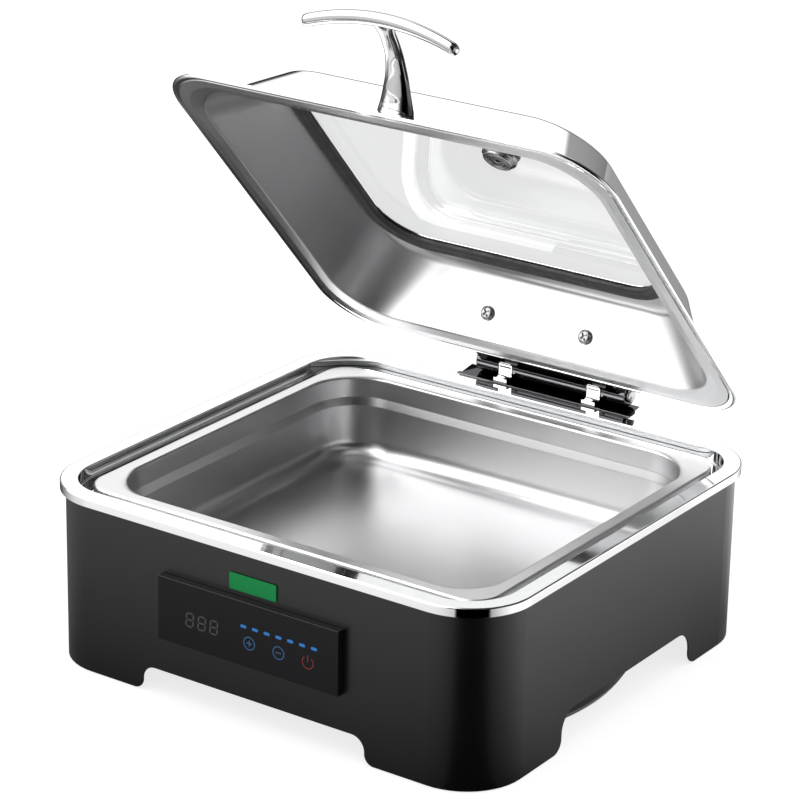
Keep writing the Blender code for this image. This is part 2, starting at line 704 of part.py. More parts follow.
def build_glazing(glass, rubber, chrome):
    """Glass pane, its gasket, and the vent bush that clamps through the pane."""
    top = LID_DEPTH - LID_SHEET - GAP
    low = top - 4.5
    pane = loft("lid_glass", [window_loop(6.5, low), window_loop(6.5, top)], glass)
    spot = (VENT_X, VENT_Y, LID_LOW + low)
    bore(pane, spot, (0, 0, 1), 6.3, 10, 24)
    gasket_low = low - 4.4
    gasket_top = low - GAP
    inner = -3.0
    outer = inner + GASKET_WIDTH
    gasket = loft("lid_gasket", [window_loop(outer, gasket_low + 0.8),
                                 window_loop(outer, gasket_top), window_loop(inner, gasket_top),
                                 window_loop(inner, gasket_low + 0.8),
                                 window_loop(inner + 0.8, gasket_low),
                                 window_loop(outer - 0.8, gasket_low)], rubber, ring=True)
    under = low - GAP
    nut = turned("vent_nut", [(6.4, under), (13.8, under), (13.8, under - 3.2),
                              (12.6, under - 4.4), (11.6, under - 6.2), (6.4, under - 6.2)],
                 chrome, 24, ring=True)
    bush = turned("vent_bush", [(2.0, under - 5.6), (6.0, under - 5.6), (6.0, top + GAP),
                                (14.0, top + GAP), (13.4, top + 3.4), (8.0, top + 4.6),
                                (2.0, top + 4.6)], chrome, 24, ring=True)
    for item in (nut, bush):
        place(item, Matrix.Translation((VENT_X, VENT_Y, LID_LOW)))
    return [pane, gasket, nut, bush]


def front_point(inset, height):
    """(y, z) on the front of the closed lid for an inset and a height above the lip."""
    return (LID_Y - LID_HALF_Y + inset, LID_LOW + height)


def ellipse_section(centre, across, along, half_width, half_thick, sides=14):
    """Oval loop about a centre, spanned by two directions."""
    points = []
    for step in range(sides):
        turn = 2 * math.pi * step / sides
        spot = (Vector(centre) + Vector(across) * half_width * math.cos(turn)
                + Vector(along) * half_thick * math.sin(turn))
        points.append(tuple(spot))
    return points


def bar_loops(extra):
    """Sections of the arched handle bar, thickened by a clearance."""
    y_mid, z_mid = front_point(-33.0, 56.7)
    stations = 16
    loops = []
    for step in range(stations + 1):
        part = math.sin(math.pi * (step / stations - 0.5))
        tilt = math.atan(2 * BAR_DROP * part / BAR_HALF)
        blunt = max(math.sqrt(1 - abs(part) ** 40), 0.35)
        normal = Vector((math.sin(tilt), 0, math.cos(tilt)))
        centre = (BAR_HALF * part, y_mid + BAR_SWEEP * part ** 2, z_mid - BAR_DROP * part ** 2)
        loops.append(ellipse_section(centre, (0, 1, 0), normal,
                                     6.0 * blunt + extra, 4.8 * blunt + extra))
    return loops


def stem_loops():
    """Sections of the stem, from its wide foot on the front wall up to the bar."""
    foot_centre = wall_point(WALL_START, WALL_SLOPE, STEM_HEIGHT, GAP)
    stations = [(*foot_centre, 14.6, 7.6), (28.0, 28.0, 13.1, 6.6), (21.6, 34.1, 11.3, 5.7),
                (14.6, 40.3, 9.5, 5.0), (7.0, 45.4, 8.1, 4.6), (-1.4, 49.8, 7.1, 4.4),
                (-11.5, 53.0, 6.6, 4.3), (-20.5, 54.8, 6.7, 4.2), (-27.5, 55.7, 8.2, 4.1),
                (-31.5, 56.2, 10.5, 3.9)]
    centres = [front_point(inset, height) for inset, height, _, _ in stations]
    loops = []
    for index, (_, _, half_width, half_thick) in enumerate(stations):
        y_before, z_before = centres[max(index - 1, 0)]
        y_after, z_after = centres[min(index + 1, len(centres) - 1)]
        ahead = Vector((0, y_after - y_before, z_after - z_before)).normalized()
        if index == 0:
            ahead = -Vector(wall_inward(WALL_SLOPE, True))
        side = Vector((0, ahead.z, -ahead.y))
        y, z = centres[index]
        loops.append(ellipse_section((0, y, z), (1, 0, 0), side, half_width, half_thick))
    return loops


def build_handle(chrome, steel, shell):
    """Handle of the lid: a curved stem on the front wall and an arched cross bar."""
    bar = loft("handle_bar", bar_loops(0.0), chrome)
    stem = loft("handle_stem", stem_loops(), chrome)
    cut(stem, loft("bar_seat", bar_loops(GAP), None))
    pieces = [bar, stem]
    inward = wall_inward(WALL_SLOPE, True)
    y, z = front_point(*wall_point(WALL_START, WALL_SLOPE, STEM_HEIGHT, -LID_SHEET - 0.1))
    for index, x in enumerate((-8.0, 8.0), 1):
        bore(shell, (x, y, z), inward, 2.3, 5)
        bore(stem, (x, y, z), inward, 2.3, 7)
        pieces.append(screw("handle_screw_%d" % index, (x, y, z), inward, steel,
                            (4.0, 2.4), (1.9, 6)))
    return pieces


def build_lid(looks):
    """Every piece that swings with the lid, parented to an empty on the hinge's axis."""
    pivot = bpy.data.objects.new("lid_pivot", None)
    bpy.context.scene.collection.objects.link(pivot)
    pivot.location = (0, (PIVOT_Y + SHIFT_Y) * MM, PIVOT_Z * MM)
    shell = build_lid_shell(looks["chrome"])
    leaf = build_hinge_leaf(looks["chrome"])
    pieces = [shell, leaf]
    pieces += build_hinge_fasteners(leaf, shell, looks["steel"])
    pieces += build_glazing(looks["glass"], looks["rubber"], looks["chrome"])
    pieces += build_handle(looks["chrome"], looks["steel"], shell)
    to_pivot = Matrix.Translation((0, -PIVOT_Y, -PIVOT_Z))
    for item in pieces:
        place(item, to_pivot)
        item.parent = pivot
        item.location = (0, 0, 0)
    pivot.rotation_euler = (math.radians(-LID_REST_ANGLE), 0, 0)


def main():
    """Build the whole server."""
    clear_scene()
    looks = {
        "paint": material("black_paint", (0.028, 0.028, 0.030), 0.42, 0.0),
        "chrome": material("chrome", (0.86, 0.87, 0.88), 0.08, 1.0),
        "pan": material("brushed_pan", (0.70, 0.70, 0.70), 0.28, 1.0),
        "steel": material("plain_steel", (0.62, 0.62, 0.63), 0.30, 1.0),
        "aluminium": material("aluminium", (0.74, 0.75, 0.76), 0.40, 1.0),
        "plastic": material("black_plastic", (0.012, 0.012, 0.013), 0.20, 0.0),
        "lens": material("black_lens", (0.010, 0.011, 0.016), 0.06, 0.0),
        "glass": material("clear_glass", (0.80, 0.86, 0.86), 0.03, 0.0),
        "rubber": material("dark_rubber", (0.040, 0.040, 0.042), 0.62, 0.0),
        "board": material("board", (0.70, 0.69, 0.64), 0.85, 0.0),
        "brass": material("brass", (0.80, 0.62, 0.30), 0.30, 1.0),
        "blue": material("blue_light", (0.05, 0.35, 0.85), 0.35, 0.0),
        "badge": material("green_badge", (0.010, 0.26, 0.09), 0.35, 0.0),
    }
    build_housing(looks["paint"])
    build_rim(looks["chrome"])
    build_food_pan(looks["pan"])
    build_water_pan(looks["pan"])
    build_heater(looks["aluminium"], looks["steel"], looks["board"], looks["brass"])
    build_base(looks["paint"], looks["plastic"], looks["rubber"], looks["steel"])
    build_panel(looks["plastic"], looks["lens"], looks["board"], looks["blue"], looks["badge"])
    build_inlet(looks["plastic"], looks["steel"])
    build_hinge_bracket(looks["chrome"], looks["steel"])
    for item in list(bpy.context.scene.objects):
        place(item, Matrix.Translation((0, SHIFT_Y, 0)))
    build_lid(looks)


main()
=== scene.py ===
"""Looks of the electric buffet server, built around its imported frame.

Lengths are millimetres from the middle of the housing, as in the part's own drawing;
placement() turns them into metres and moves them so that the frame's origin is kept.
Lid pieces are drawn with the lid closed and are then swung to the rest angle.
"""
import math

import bmesh  # noqa: E402
import bpy  # noqa: E402
from mathutils import Matrix, Vector  # noqa: E402


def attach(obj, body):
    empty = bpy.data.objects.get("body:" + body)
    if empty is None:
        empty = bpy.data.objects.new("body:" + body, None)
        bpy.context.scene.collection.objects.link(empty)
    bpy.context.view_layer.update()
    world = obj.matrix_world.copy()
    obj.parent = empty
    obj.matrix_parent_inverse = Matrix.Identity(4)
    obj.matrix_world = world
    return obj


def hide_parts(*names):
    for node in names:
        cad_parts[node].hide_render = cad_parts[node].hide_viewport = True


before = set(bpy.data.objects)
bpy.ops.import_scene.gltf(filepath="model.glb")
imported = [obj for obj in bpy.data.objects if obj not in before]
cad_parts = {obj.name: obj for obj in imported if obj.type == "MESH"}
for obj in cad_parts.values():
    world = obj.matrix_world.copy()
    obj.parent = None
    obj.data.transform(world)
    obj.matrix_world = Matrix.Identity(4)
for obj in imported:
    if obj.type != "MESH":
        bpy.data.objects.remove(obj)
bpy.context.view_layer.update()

MM = 0.001
SHIFT_Y = -14.05
GAP = 0.3
PIVOT_Y = 207.1
PIVOT_Z = 151.8
REST_ANGLE = math.radians(47.5)

BODY_X, BODY_Y, BODY_R = 197.0, 184.1, 46.7
RIM_X, RIM_Y, RIM_R = 201.25, 188.35, 51.0
RIM_TOP = 141.2
PAN_Y = 2.0
PAN_X, PAN_HALF_Y = 177.0, 162.5
PAN_TOP = 135.9
LID_X, LID_Y, LID_R = 190.0, 176.5, 46.0
LID_CENTRE = 1.0
LID_LOW = 142.2
LID_DEPTH = 52.6
SHEET = 1.2
SIDE_WALL = (22.8, 8.0, 1.68)     # inset and height where the wall starts, and its slope
BACK_WALL = (20.6, 8.0, 2.0)
PANEL_X, PANEL_CENTRE, PANEL_Y = 80.0, -1.1, -190.78
PANEL_Z, PANEL_HALF_Z = 75.0, 25.0
PANEL_SPLIT = -189.2              # where the control box ends; its lens starts a gap further on
WALL_FACE = 184.4                 # pieces on the housing stand this far from its middle
MARK_SINK, MARK_DEPTH = 0.3, 0.12     # a mark's depth below the lens's face and above it
MARK_LINE = 0.32                  # half the width of a mark's strokes
SHELL_LOW = 0.8
CUT_SHIFT = -2.0
PIN_HOLE = 3.3
STEM_HEIGHT = 23.4
WINDOW_FRONT, WINDOW_BACK, WINDOW_R = 63.0, 80.0, 36.0
VENT = (46.0, -69.0)
CORNER_STEPS = 9                  # steps around each rounded corner of the lid's wall lines
CORNER_LOOPS = CORNER_STEPS + 3   # points there: rounded() adds an end and one beside each end

# Camera: azimuth, elevation and roll in degrees, and its place in drawing millimetres
CAMERA_ANGLES = (34.69, 20.98, 1.06)
CAMERA_PLACE = (1299.97, -1890.76, 1075.98)
LENS, LENS_SHIFT = 150.28, (0.0052, -0.0022)


# ---- placing and mesh helpers

def placement(lid):
    """Matrix from drawing millimetres to the frame's metres."""
    scale = Matrix.Diagonal((MM, MM, MM, 1.0))
    shift = Matrix.Translation((0, SHIFT_Y, 0))
    if not lid:
        return scale @ shift
    pivot = Matrix.Translation((0, PIVOT_Y, PIVOT_Z))
    swing = Matrix.Rotation(-REST_ANGLE, 4, "X")
    return scale @ shift @ pivot @ swing @ pivot.inverted()


def new_object(name, data):
    """Object that shows a mesh, lamp or camera in the scene."""
    item = bpy.data.objects.new(name, data)
    bpy.context.scene.collection.objects.link(item)
    return item


def shade(mesh, sharp):
    """Shade smooth apart from creases above an angle in degrees."""
    mesh.shade_smooth()
    mesh.set_sharp_from_angle(angle=math.radians(sharp))


def make(name, verts, faces, face_slots=None, sharp=33):
    """Mesh object in drawing millimetres, smooth apart from its real creases."""
    mesh = bpy.data.meshes.new(name)
    mesh.from_pydata([tuple(v) for v in verts], [], faces)
    if face_slots:
        mesh.polygons.foreach_set("material_index", face_slots)
    work = bmesh.new()
    work.from_mesh(mesh)
    bmesh.ops.remove_doubles(work, verts=work.verts, dist=1e-4)
    bmesh.ops.recalc_face_normals(work, faces=work.faces)
    work.to_mesh(mesh)
    work.free()
    shade(mesh, sharp)
    return new_object(name, mesh)


def band(count, row, after_row):
    """Faces between two loops of points."""
    low, high = row * count, after_row * count
    faces = []
    for here in range(count):
        after = (here + 1) % count
        faces.append((low + here, low + after, high + after, high + here))
    return faces


def loft(name, loops, ring=False, row_slots=None, sharp=33):
    """Skin equal loops of points, closed into a ring or capped at both ends."""
    count = len(loops[0])
    verts = [point for loop in loops for point in loop]
    faces, slots = [], []
    rows = len(loops) if ring else len(loops) - 1
    for row in range(rows):
        faces += band(count, row, (row + 1) % len(loops))
        slots += [row_slots[row] if row_slots else 0] * count
    if not ring:
        last = (len(loops) - 1) * count
        faces.append(tuple(reversed(range(count))))
        faces.append(tuple(range(last, last + count)))
        slots += [slots[0], slots[-1]]
    return make(name, verts, faces, slots if row_slots else None, sharp)


def vessel(name, loops, floor, sharp=33):
    """Skin a vessel inside and out, with a plate across the floor's loop and the next one."""
    count = len(loops[0])
    verts = [point for loop in loops for point in loop]
    faces = []
    for row in range(len(loops)):
        if row != floor:
            faces += band(count, row, (row + 1) % len(loops))
    for row in (floor, floor + 1):
        faces.append(tuple(range(row * count, (row + 1) * count)))
    return make(name, verts, faces, sharp=sharp)


def rounded(path, closed=True, steps=5, hold=0.35):
    """Round the corners of (a, b, radius) points, holding a point close beside each arc."""
    out = []
    count = len(path)
    for index, (a, b, radius) in enumerate(path):
        if radius <= 0 or (not closed and index in (0, count - 1)):
            out.append((a, b))
            continue
        here = Vector((a, b))
        back = Vector(path[index - 1][:2]) - here
        ahead = Vector(path[(index + 1) % count][:2]) - here
        reach_limit = 0.46 * min(back.length, ahead.length)
        one, two = back.normalized(), ahead.normalized()
        half = one.angle(two) / 2
        reach = min(radius / math.tan(half), reach_limit)
        radius = reach * math.tan(half)
        centre = here + (one + two).normalized() * radius / math.sin(half)
        start, end = here + one * reach, here + two * reach
        support = min(hold * radius + 0.05, 0.04 * min(back.length, ahead.length) + 0.02)
        out.append(tuple(start + one * support))
        begin, finish = start - centre, end - centre
        sweep = begin.angle_signed(finish)
        for step in range(steps + 1):
            turn = Matrix.Rotation(-sweep * step / steps, 2)
            out.append(tuple(centre + turn @ begin))
        out.append(tuple(end + two * support))
    return out


def outline(half_x, half_y, radius, z, centre_y=0.0, steps=12):
    """Points around a rounded rectangle, with a point held beside each end of an arc."""
    hold = 1.2
    points = []
    for corner in range(4):
        sign_x = (1, -1, -1, 1)[corner]
        sign_y = (1, 1, -1, -1)[corner]
        centre = Vector((sign_x * (half_x - radius), centre_y + sign_y * (half_y - radius)))
        first = math.pi / 2 * corner
        for step in range(-1, steps + 2):
            turn = first + math.pi / 2 * min(max(step, 0), steps) / steps
            spot = centre + radius * Vector((math.cos(turn), math.sin(turn)))
            if step < 0:
                spot += hold * Vector((math.sin(first), -math.cos(first)))
            if step > steps:
                spot += hold * Vector((-math.sin(turn), math.cos(turn)))
            points.append((spot.x, spot.y, z))
    return points


def swept(name, profile, half_x, half_y, radius):
    """Sweep a closed shape of (inset, z) points around a rounded rectangle."""
    loops = [outline(half_x - inset, half_y - inset, radius - inset, z) for inset, z in profile]
    return loft(name, loops, ring=True)


def arc(a, b, radius, start, end, steps):
    """Flat points along an arc about (a, b), from one angle in radians to another."""
    turns = [start + (end - start) * step / steps for step in range(steps + 1)]
    return [(a + radius * math.cos(turn), b + radius * math.sin(turn)) for turn in turns]


def circle(radius, z, segments):
    """Points around a circle across Z."""
    return [(x, y, z) for x, y in arc(0, 0, radius, 0, 2 * math.pi, segments)[:-1]]


def turned(name, profile, segments=40, ring=False):
    """Turn (radius, height) points about Z."""
    return loft(name, [circle(max(r, 0.02), z, segments) for r, z in profile], ring)


def prism(name, shape, low, high, axis):
    """Extrude a closed shape along an axis; its points hold the other two axes in order."""
    split = "XYZ".index(axis)
    return loft(name, [[(*spot[:split], at, *spot[split:]) for spot in shape]
                       for at in (low, high)])


def block(name, low, high):
    """A block between two corners, used as a cutting tool."""
    shape = [(low[0], low[1]), (high[0], low[1]), (high[0], high[1]), (low[0], high[1])]
    return prism(name, shape, low[2], high[2], "Z")


def apply_modifiers(item, sharp=33):
    """Bake an object's modifiers into its mesh."""
    bpy.context.view_layer.update()
    graph = bpy.context.evaluated_depsgraph_get()
    mesh = bpy.data.meshes.new_from_object(item.evaluated_get(graph))
    item.modifiers.clear()
    item.data = mesh
    if sharp is not None:
        shade(mesh, sharp)
    return item


def combine(target, tool, operation):
    """Boolean a tool into a target, then discard the tool."""
    step = target.modifiers.new(operation.lower(), "BOOLEAN")
    step.operation = operation
    step.solver = "EXACT"
    step.object = tool
    apply_modifiers(target)
    bpy.data.objects.remove(tool, do_unlink=True)


def soften(item, width, segments=2, angle=35):
    """Round an object's real creases."""
    step = item.modifiers.new("soft_edges", "BEVEL")
    step.width = width
    step.segments = segments
    step.limit_method = "ANGLE"
    step.angle_limit = math.radians(angle)
    apply_modifiers(item, 40)
    even = item.modifiers.new("even_shading", "WEIGHTED_NORMAL")
    even.keep_sharp = True
    even.weight = 90
    return apply_modifiers(item, None)


def moved(item, matrix):
    """Move an object's mesh, still in drawing millimetres."""
    item.data.transform(matrix)
    return item


def along(origin, direction):
    """Matrix that carries +Z onto a direction at an origin."""
    turn = Vector((0, 0, 1)).rotation_difference(Vector(direction)).to_matrix().to_4x4()
    return Matrix.Translation(Vector(origin)) @ turn


def joined(name, items):
    """One object from several that share their looks."""
    work = bmesh.new()
    for item in items:
        work.from_mesh(item.data)
    mesh = bpy.data.meshes.new(name)
    work.to_mesh(mesh)
    work.free()
    shade(mesh, 33)
    for item in items:
        bpy.data.objects.remove(item, do_unlink=True)
    return new_object(name, mesh)


def finish(item, looks, body, slot, *nodes):
    """Move a piece into the frame, give it its looks, and hide the frame's nodes that it stands
    for.
    """
    item.data.transform(placement(body == "lid"))
    for look in looks.split():
        item.data.materials.append(LOOKS[look])
    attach(item, body)
    if nodes:
        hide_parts(*nodes)


# ---- materials

class Nodes:
    """A node tree, with shorthand for adding and linking its nodes."""

    def __init__(self, tree):
        self.tree = tree

    def add(self, kind, **values):
        """Add a node, setting its sockets or its properties."""
        node = self.tree.nodes.new(kind)
        for key, value in values.items():
            socket = key.replace("_", " ")
            if socket in node.inputs:
                node.inputs[socket].default_value = value
            else:
                setattr(node, key, value)
        return node

    def link(self, source, target):
        self.tree.links.new(source, target)

    def feed(self, value, target):
        """Give a socket a number or another node's result."""
        if isinstance(value, (int, float)):
            target.default_value = value
        else:
            self.link(value, target)


class Look(Nodes):
    """A Principled material and shorthand for the textures that vary it."""

    def __init__(self, name, colour, roughness, metallic=0.0, **sockets):
        self.material = bpy.data.materials.new(name)
        self.material.use_nodes = True
        super().__init__(self.material.node_tree)
        self.shader = self.tree.nodes["Principled BSDF"]
        self.put(Base_Color=(*colour, 1), Roughness=roughness, Metallic=metallic, **sockets)
        self.place = self.add("ShaderNodeTexCoord").outputs["Object"]

    def put(self, **sockets):
        """Set the shader's sockets."""
        for socket, value in sockets.items():
            self.shader.inputs[socket.replace("_", " ")].default_value = value

    def noise(self, scale, detail, coarse=0.5):
        """Noise in object space."""
        node = self.add("ShaderNodeTexNoise", Scale=scale, Detail=detail, Roughness=coarse)
        self.link(self.place, node.inputs["Vector"])
        return node.outputs["Fac"]

    def colours(self, scale, detail, first, second):
        """Colour that runs from first to second with noise."""
        node = self.add("ShaderNodeMix", data_type="RGBA")
        node.inputs[6].default_value = (*first, 1)
        node.inputs[7].default_value = (*second, 1)
        self.link(self.noise(scale, detail), node.inputs[0])
        self.link(node.outputs[2], self.shader.inputs["Base Color"])

    def gloss(self, scale, detail, low, high, reach=0.2, coarse=0.5):
        """Roughness that runs from low to high within reach of the noise's middle."""
        node = self.add("ShaderNodeMapRange", From_Min=0.5 - reach, From_Max=0.5 + reach,
                        To_Min=low, To_Max=high)
        self.link(self.noise(scale, detail, coarse), node.inputs["Value"])
        self.link(node.outputs["Result"], self.shader.inputs["Roughness"])

    def bump(self, scale, detail, strength, distance):
        """Raise the surface by noise; distance is in metres."""
        node = self.add("ShaderNodeBump", Strength=strength, Distance=distance)
        self.link(self.noise(scale, detail), node.inputs["Height"])
        self.link(node.outputs["Normal"], self.shader.inputs["Normal"])


def paint_look():
    """Satin black stove enamel: fine orange peel and slightly uneven gloss."""
    look = Look("black_enamel", (0.004, 0.004, 0.0045), 0.36)
    look.colours(60, 4, (0.0012, 0.0012, 0.0013), (0.0021, 0.0021, 0.0023))
    look.gloss(38, 5, 0.30, 0.35)
    look.bump(900, 2, 0.08, 0.00005)
    return look.material


def chrome_look(name="polished_chrome", low=0.035, high=0.075, colour=(0.93, 0.935, 0.94)):
    """Polished bright metal with faint wiping marks."""
    look = Look(name, colour, 0.05, 1.0, Specular_Tint=(0.30, 0.30, 0.30, 1))
    look.colours(14, 3, tuple(c * 0.985 for c in colour), colour)
    look.gloss(55, 6, low, high, coarse=0.6)
    look.bump(700, 2, 0.02, 0.00002)
    return look.material


def satin_look():
    """Inside of the lid: bright steel with a soft, slightly cloudy sheen."""
    look = Look("satin_lid_steel", (0.60, 0.60, 0.605), 0.34, 1.0)
    look.colours(9, 4, (0.54, 0.54, 0.545), (0.66, 0.66, 0.665))
    look.gloss(16, 4, 0.30, 0.38, 0.3)
    look.bump(500, 2, 0.03, 0.00002)
    return look.material


def pan_look():
    """Drawn stainless pan: satin, with fine grain and soft cloudiness."""
    look = Look("drawn_steel", (0.60, 0.60, 0.605), 0.28, 1.0)
    look.colours(6, 3, (0.57, 0.57, 0.575), (0.63, 0.63, 0.635))
    look.gloss(12, 3, 0.29, 0.35, 0.3)
    look.bump(700, 2, 0.03, 0.00002)
    return look.material


def plain_metal_look(name, colour, roughness):
    """Plain machined or rolled metal."""
    look = Look(name, colour, roughness, 1.0)
    look.colours(120, 4, tuple(c * 0.85 for c in colour), colour)
    look.gloss(240, 3, roughness * 0.8, roughness * 1.25)
    look.bump(1500, 2, 0.1, 0.00003)
    return look.material


def plastic_look(name, colour, roughness, grain=0.00003):
    """Moulded plastic with a little texture."""
    look = Look(name, colour, roughness)
    look.colours(90, 3, tuple(c * 0.8 for c in colour), colour)
    look.gloss(130, 4, roughness * 0.85, roughness * 1.2)
    look.bump(1100, 2, 0.12, grain)
    return look.material


def lens_look():
    """Deep black acrylic with a faint blue cast."""
    look = Look("black_acrylic", (0.007, 0.007, 0.0085), 0.10)
    look.put(Specular_IOR_Level=0.17)
    look.colours(14, 2, (0.0045, 0.0045, 0.005), (0.006, 0.006, 0.0075))
    look.gloss(60, 4, 0.08, 0.13)
    return look.material


def glow_look(name, colour, strength):
    """A glowing mark seen through the lens, in a slightly uneven colour; painted light on unlit
    figures.
    """
    look = Look(name, tuple(c * 0.5 for c in colour), 0.4)
    look.put(Emission_Color=(*colour, 1), Emission_Strength=strength)
    look.colours(300, 2, tuple(c * 0.3 for c in colour), tuple(c * 0.6 for c in colour))
    return look.material


def glass_look():
    """Clear pane that lets lamps through, so that nothing behind it is in false shade."""
    look = Look("clear_pane", (0.73, 0.735, 0.735), 0.0, 0.0, Transmission_Weight=1.0, IOR=1.22)
    look.bump(6, 2, 0.02, 0.0001)
    clear = look.add("ShaderNodeBsdfTransparent", Color=(0.93, 0.95, 0.945, 1))
    path = look.add("ShaderNodeLightPath")
    mix = look.add("ShaderNodeMixShader")
    output = look.tree.nodes["Material Output"]
    look.link(path.outputs["Is Shadow Ray"], mix.inputs[0])
    look.link(look.shader.outputs[0], mix.inputs[1])
    look.link(clear.outputs[0], mix.inputs[2])
    look.link(mix.outputs[0], output.inputs["Surface"])
    return look.material


def badge_look():
    """Plain green enamel."""
    look = Look("green_enamel", (0.0, 0.19, 0.045), 0.35)
    look.put(Specular_IOR_Level=0.15)
    look.colours(200, 3, (0.0, 0.17, 0.04), (0.002, 0.21, 0.05))
    look.bump(900, 2, 0.08, 0.00003)
    return look.material


LOOKS = {
    "paint": paint_look(),
    "chrome": chrome_look(),
    "satin": satin_look(),
    # A darker copy of the chrome: painted shade on the hinge's leaf and the bracket's shelf
    "smoked": chrome_look("chrome_painted_shade", 0.08, 0.14, (0.16, 0.16, 0.165)),
    # Darker copies of the chrome: painted shade on the handle's bar and stem; the vent takes the
    # stem's copy
    "handle": chrome_look("handle_chrome_painted_shade", 0.04, 0.08, (0.50, 0.50, 0.505)),
    "stem": chrome_look("stem_chrome_painted_shade", 0.05, 0.09, (0.48, 0.48, 0.485)),
    "pan": pan_look(),
    "steel": plain_metal_look("plain_steel_bright", (0.42, 0.42, 0.43), 0.22),
    "aluminium": plain_metal_look("cast_aluminium", (0.72, 0.73, 0.74), 0.42),
    "brass": plain_metal_look("brass_body", (0.80, 0.60, 0.28), 0.30),
    "tub": plastic_look("gloss_black_moulding", (0.004, 0.004, 0.0045), 0.16, 0.00001),
    "panel": plastic_look("panel_housing_black", (0.0025, 0.0025, 0.003), 0.22, 0.00001),
    "lens": lens_look(),
    "glass": glass_look(),
    "gasket": plastic_look("gasket_rubber", (0.030, 0.030, 0.031), 0.50),
    "rubber": plastic_look("foot_rubber", (0.022, 0.022, 0.023), 0.62, 0.00006),
    "board": plastic_look("mineral_board", (0.66, 0.65, 0.60), 0.85, 0.0001),
    "circuit": plastic_look("circuit_board", (0.02, 0.10, 0.05), 0.55),
    "blue": glow_look("blue_glow", (0.002, 0.12, 0.37), 0.80),
    "ring": glow_look("blue_mark", (0.012, 0.085, 0.205), 0.65),
    "red": glow_look("red_mark", (0.21, 0.010, 0.016), 0.42),
    # The unlit figures glow only as painted light; they have no lamp behind them
    "faint": glow_look("unlit_segments_painted_glow", (0.055, 0.052, 0.047), 0.16),
    "badge": badge_look(),
}


# ---- fasteners

def screw(label, index, origin, direction, sizes, body="base"):
    """Pan-head screw with a cross recess, in the place of the node that is named like it.

    Its head stands along direction, and sizes are its head's radius and height, and its
    shank's radius and length.
    """
    radius, height, shank, length = sizes
    head = [(shank * 0.6, -length), (shank, -length + shank * 0.5), (shank, GAP * 0.6),
            (radius * 0.97, GAP * 0.6), (radius, GAP + 0.15), (radius, height * 0.42),
            (radius * 0.95, height * 0.62), (radius * 0.84, height * 0.80),
            (radius * 0.66, height * 0.93), (radius * 0.40, height * 0.99), (0, height)]
    item = turned("%s_fixing_%d" % (label, index), head, 36)
    arm, width = radius * 0.62, radius * 0.17
    for first, second in ((arm, width), (width, arm)):
        low = [(-first * 0.45, -second * 0.8), (first * 0.45, -second * 0.8),
               (first * 0.45, second * 0.8), (-first * 0.45, second * 0.8)]
        high = [(-first, -second), (first, -second), (first, second), (-first, second)]
        tool = loft("recess", [[(a, b, height * 0.35) for a, b in low],
                               [(a, b, height * 1.15) for a, b in high]])
        combine(item, tool, "DIFFERENCE")
    twist = Matrix.Rotation(0.6, 4, "Z")
    moved(item, along(origin, direction) @ twist)
    finish(item, "steel", body, "plain_steel", "%s_screw_%d" % (label, index))


def wall_point(wall, height, distance):
    """(inset, height) at a distance outside a sloping lid wall, level with a height on it."""
    start, base, slope = wall
    length = math.hypot(slope, 1.0)
    inset = start + (height - base) / slope
    return (inset - distance * slope / length, height + distance / length)


def lid_back(inset, height):
    """Drawing's (y, z) of an (inset, height) at the back of the lid."""
    return (LID_CENTRE + LID_Y - inset, LID_LOW + height)


def lid_front(inset, height):
    """Drawing's (y, z) of an (inset, height) at the front of the lid."""
    return (LID_CENTRE - LID_Y + inset, LID_LOW + height)


def wall_inward(wall, at_front):
    """Direction into the lid through a sloping wall, with the lid closed."""
    length = math.hypot(wall[2], 1.0)
    sign = 1.0 if at_front else -1.0
    return Vector((0.0, sign * wall[2] / length, -1.0 / length))


# ---- base

def foot_cut(half, height, top_radius, foot_radius, shift):
    """Outline of the cut between two feet, with S-shaped ends."""
    quarter, reach = math.pi / 2, half + foot_radius
    right = arc(reach, SHELL_LOW + foot_radius, foot_radius, -quarter, -math.pi, 10)
    right += arc(half - top_radius, height - top_radius, top_radius, 0, quarter, 10)
    shape = [(shift + a, b) for a, b in right] + [(shift - a, b) for a, b in reversed(right)]
    below = SHELL_LOW - 5
    return shape + [(shift - reach, below), (shift + reach, below)]


def build_housing():
    """Painted shell with the cuts that leave four corner feet."""
    wall, reach = 1.5, 9.0
    top, flange_in, flange_top, flange_low = 139.4, 14, 34.1, 32.6
    profile = [(0, SHELL_LOW), (0, top), (wall, top), (wall, flange_top),
               (flange_in, flange_top), (flange_in, flange_low), (wall, flange_low),
               (wall, SHELL_LOW)]
    shell = swept("housing_outer", profile, BODY_X, BODY_Y, BODY_R)
    front = foot_cut(99.0, 20.8, 11.0, 8.0, CUT_SHIFT)
    side = foot_cut(88.0, 30.2, 16.0, 10.0, 4.0)
    for sign in (-1, 1):
        low, high = sorted((sign * (BODY_Y - reach), sign * (BODY_Y + reach)))
        combine(shell, prism("front_cut", front, low, high, "Y"), "DIFFERENCE")
        low, high = sorted((sign * (BODY_X - reach), sign * (BODY_X + reach)))
        combine(shell, prism("side_cut", side, low, high, "X"), "DIFFERENCE")
    combine(shell, block("inlet_hole", (-134, 175, 60), (-106, 195, 80)), "DIFFERENCE")
    soften(shell, 0.45, angle=50)
    finish(shell, "paint", "base", "black_paint", "housing_shell")


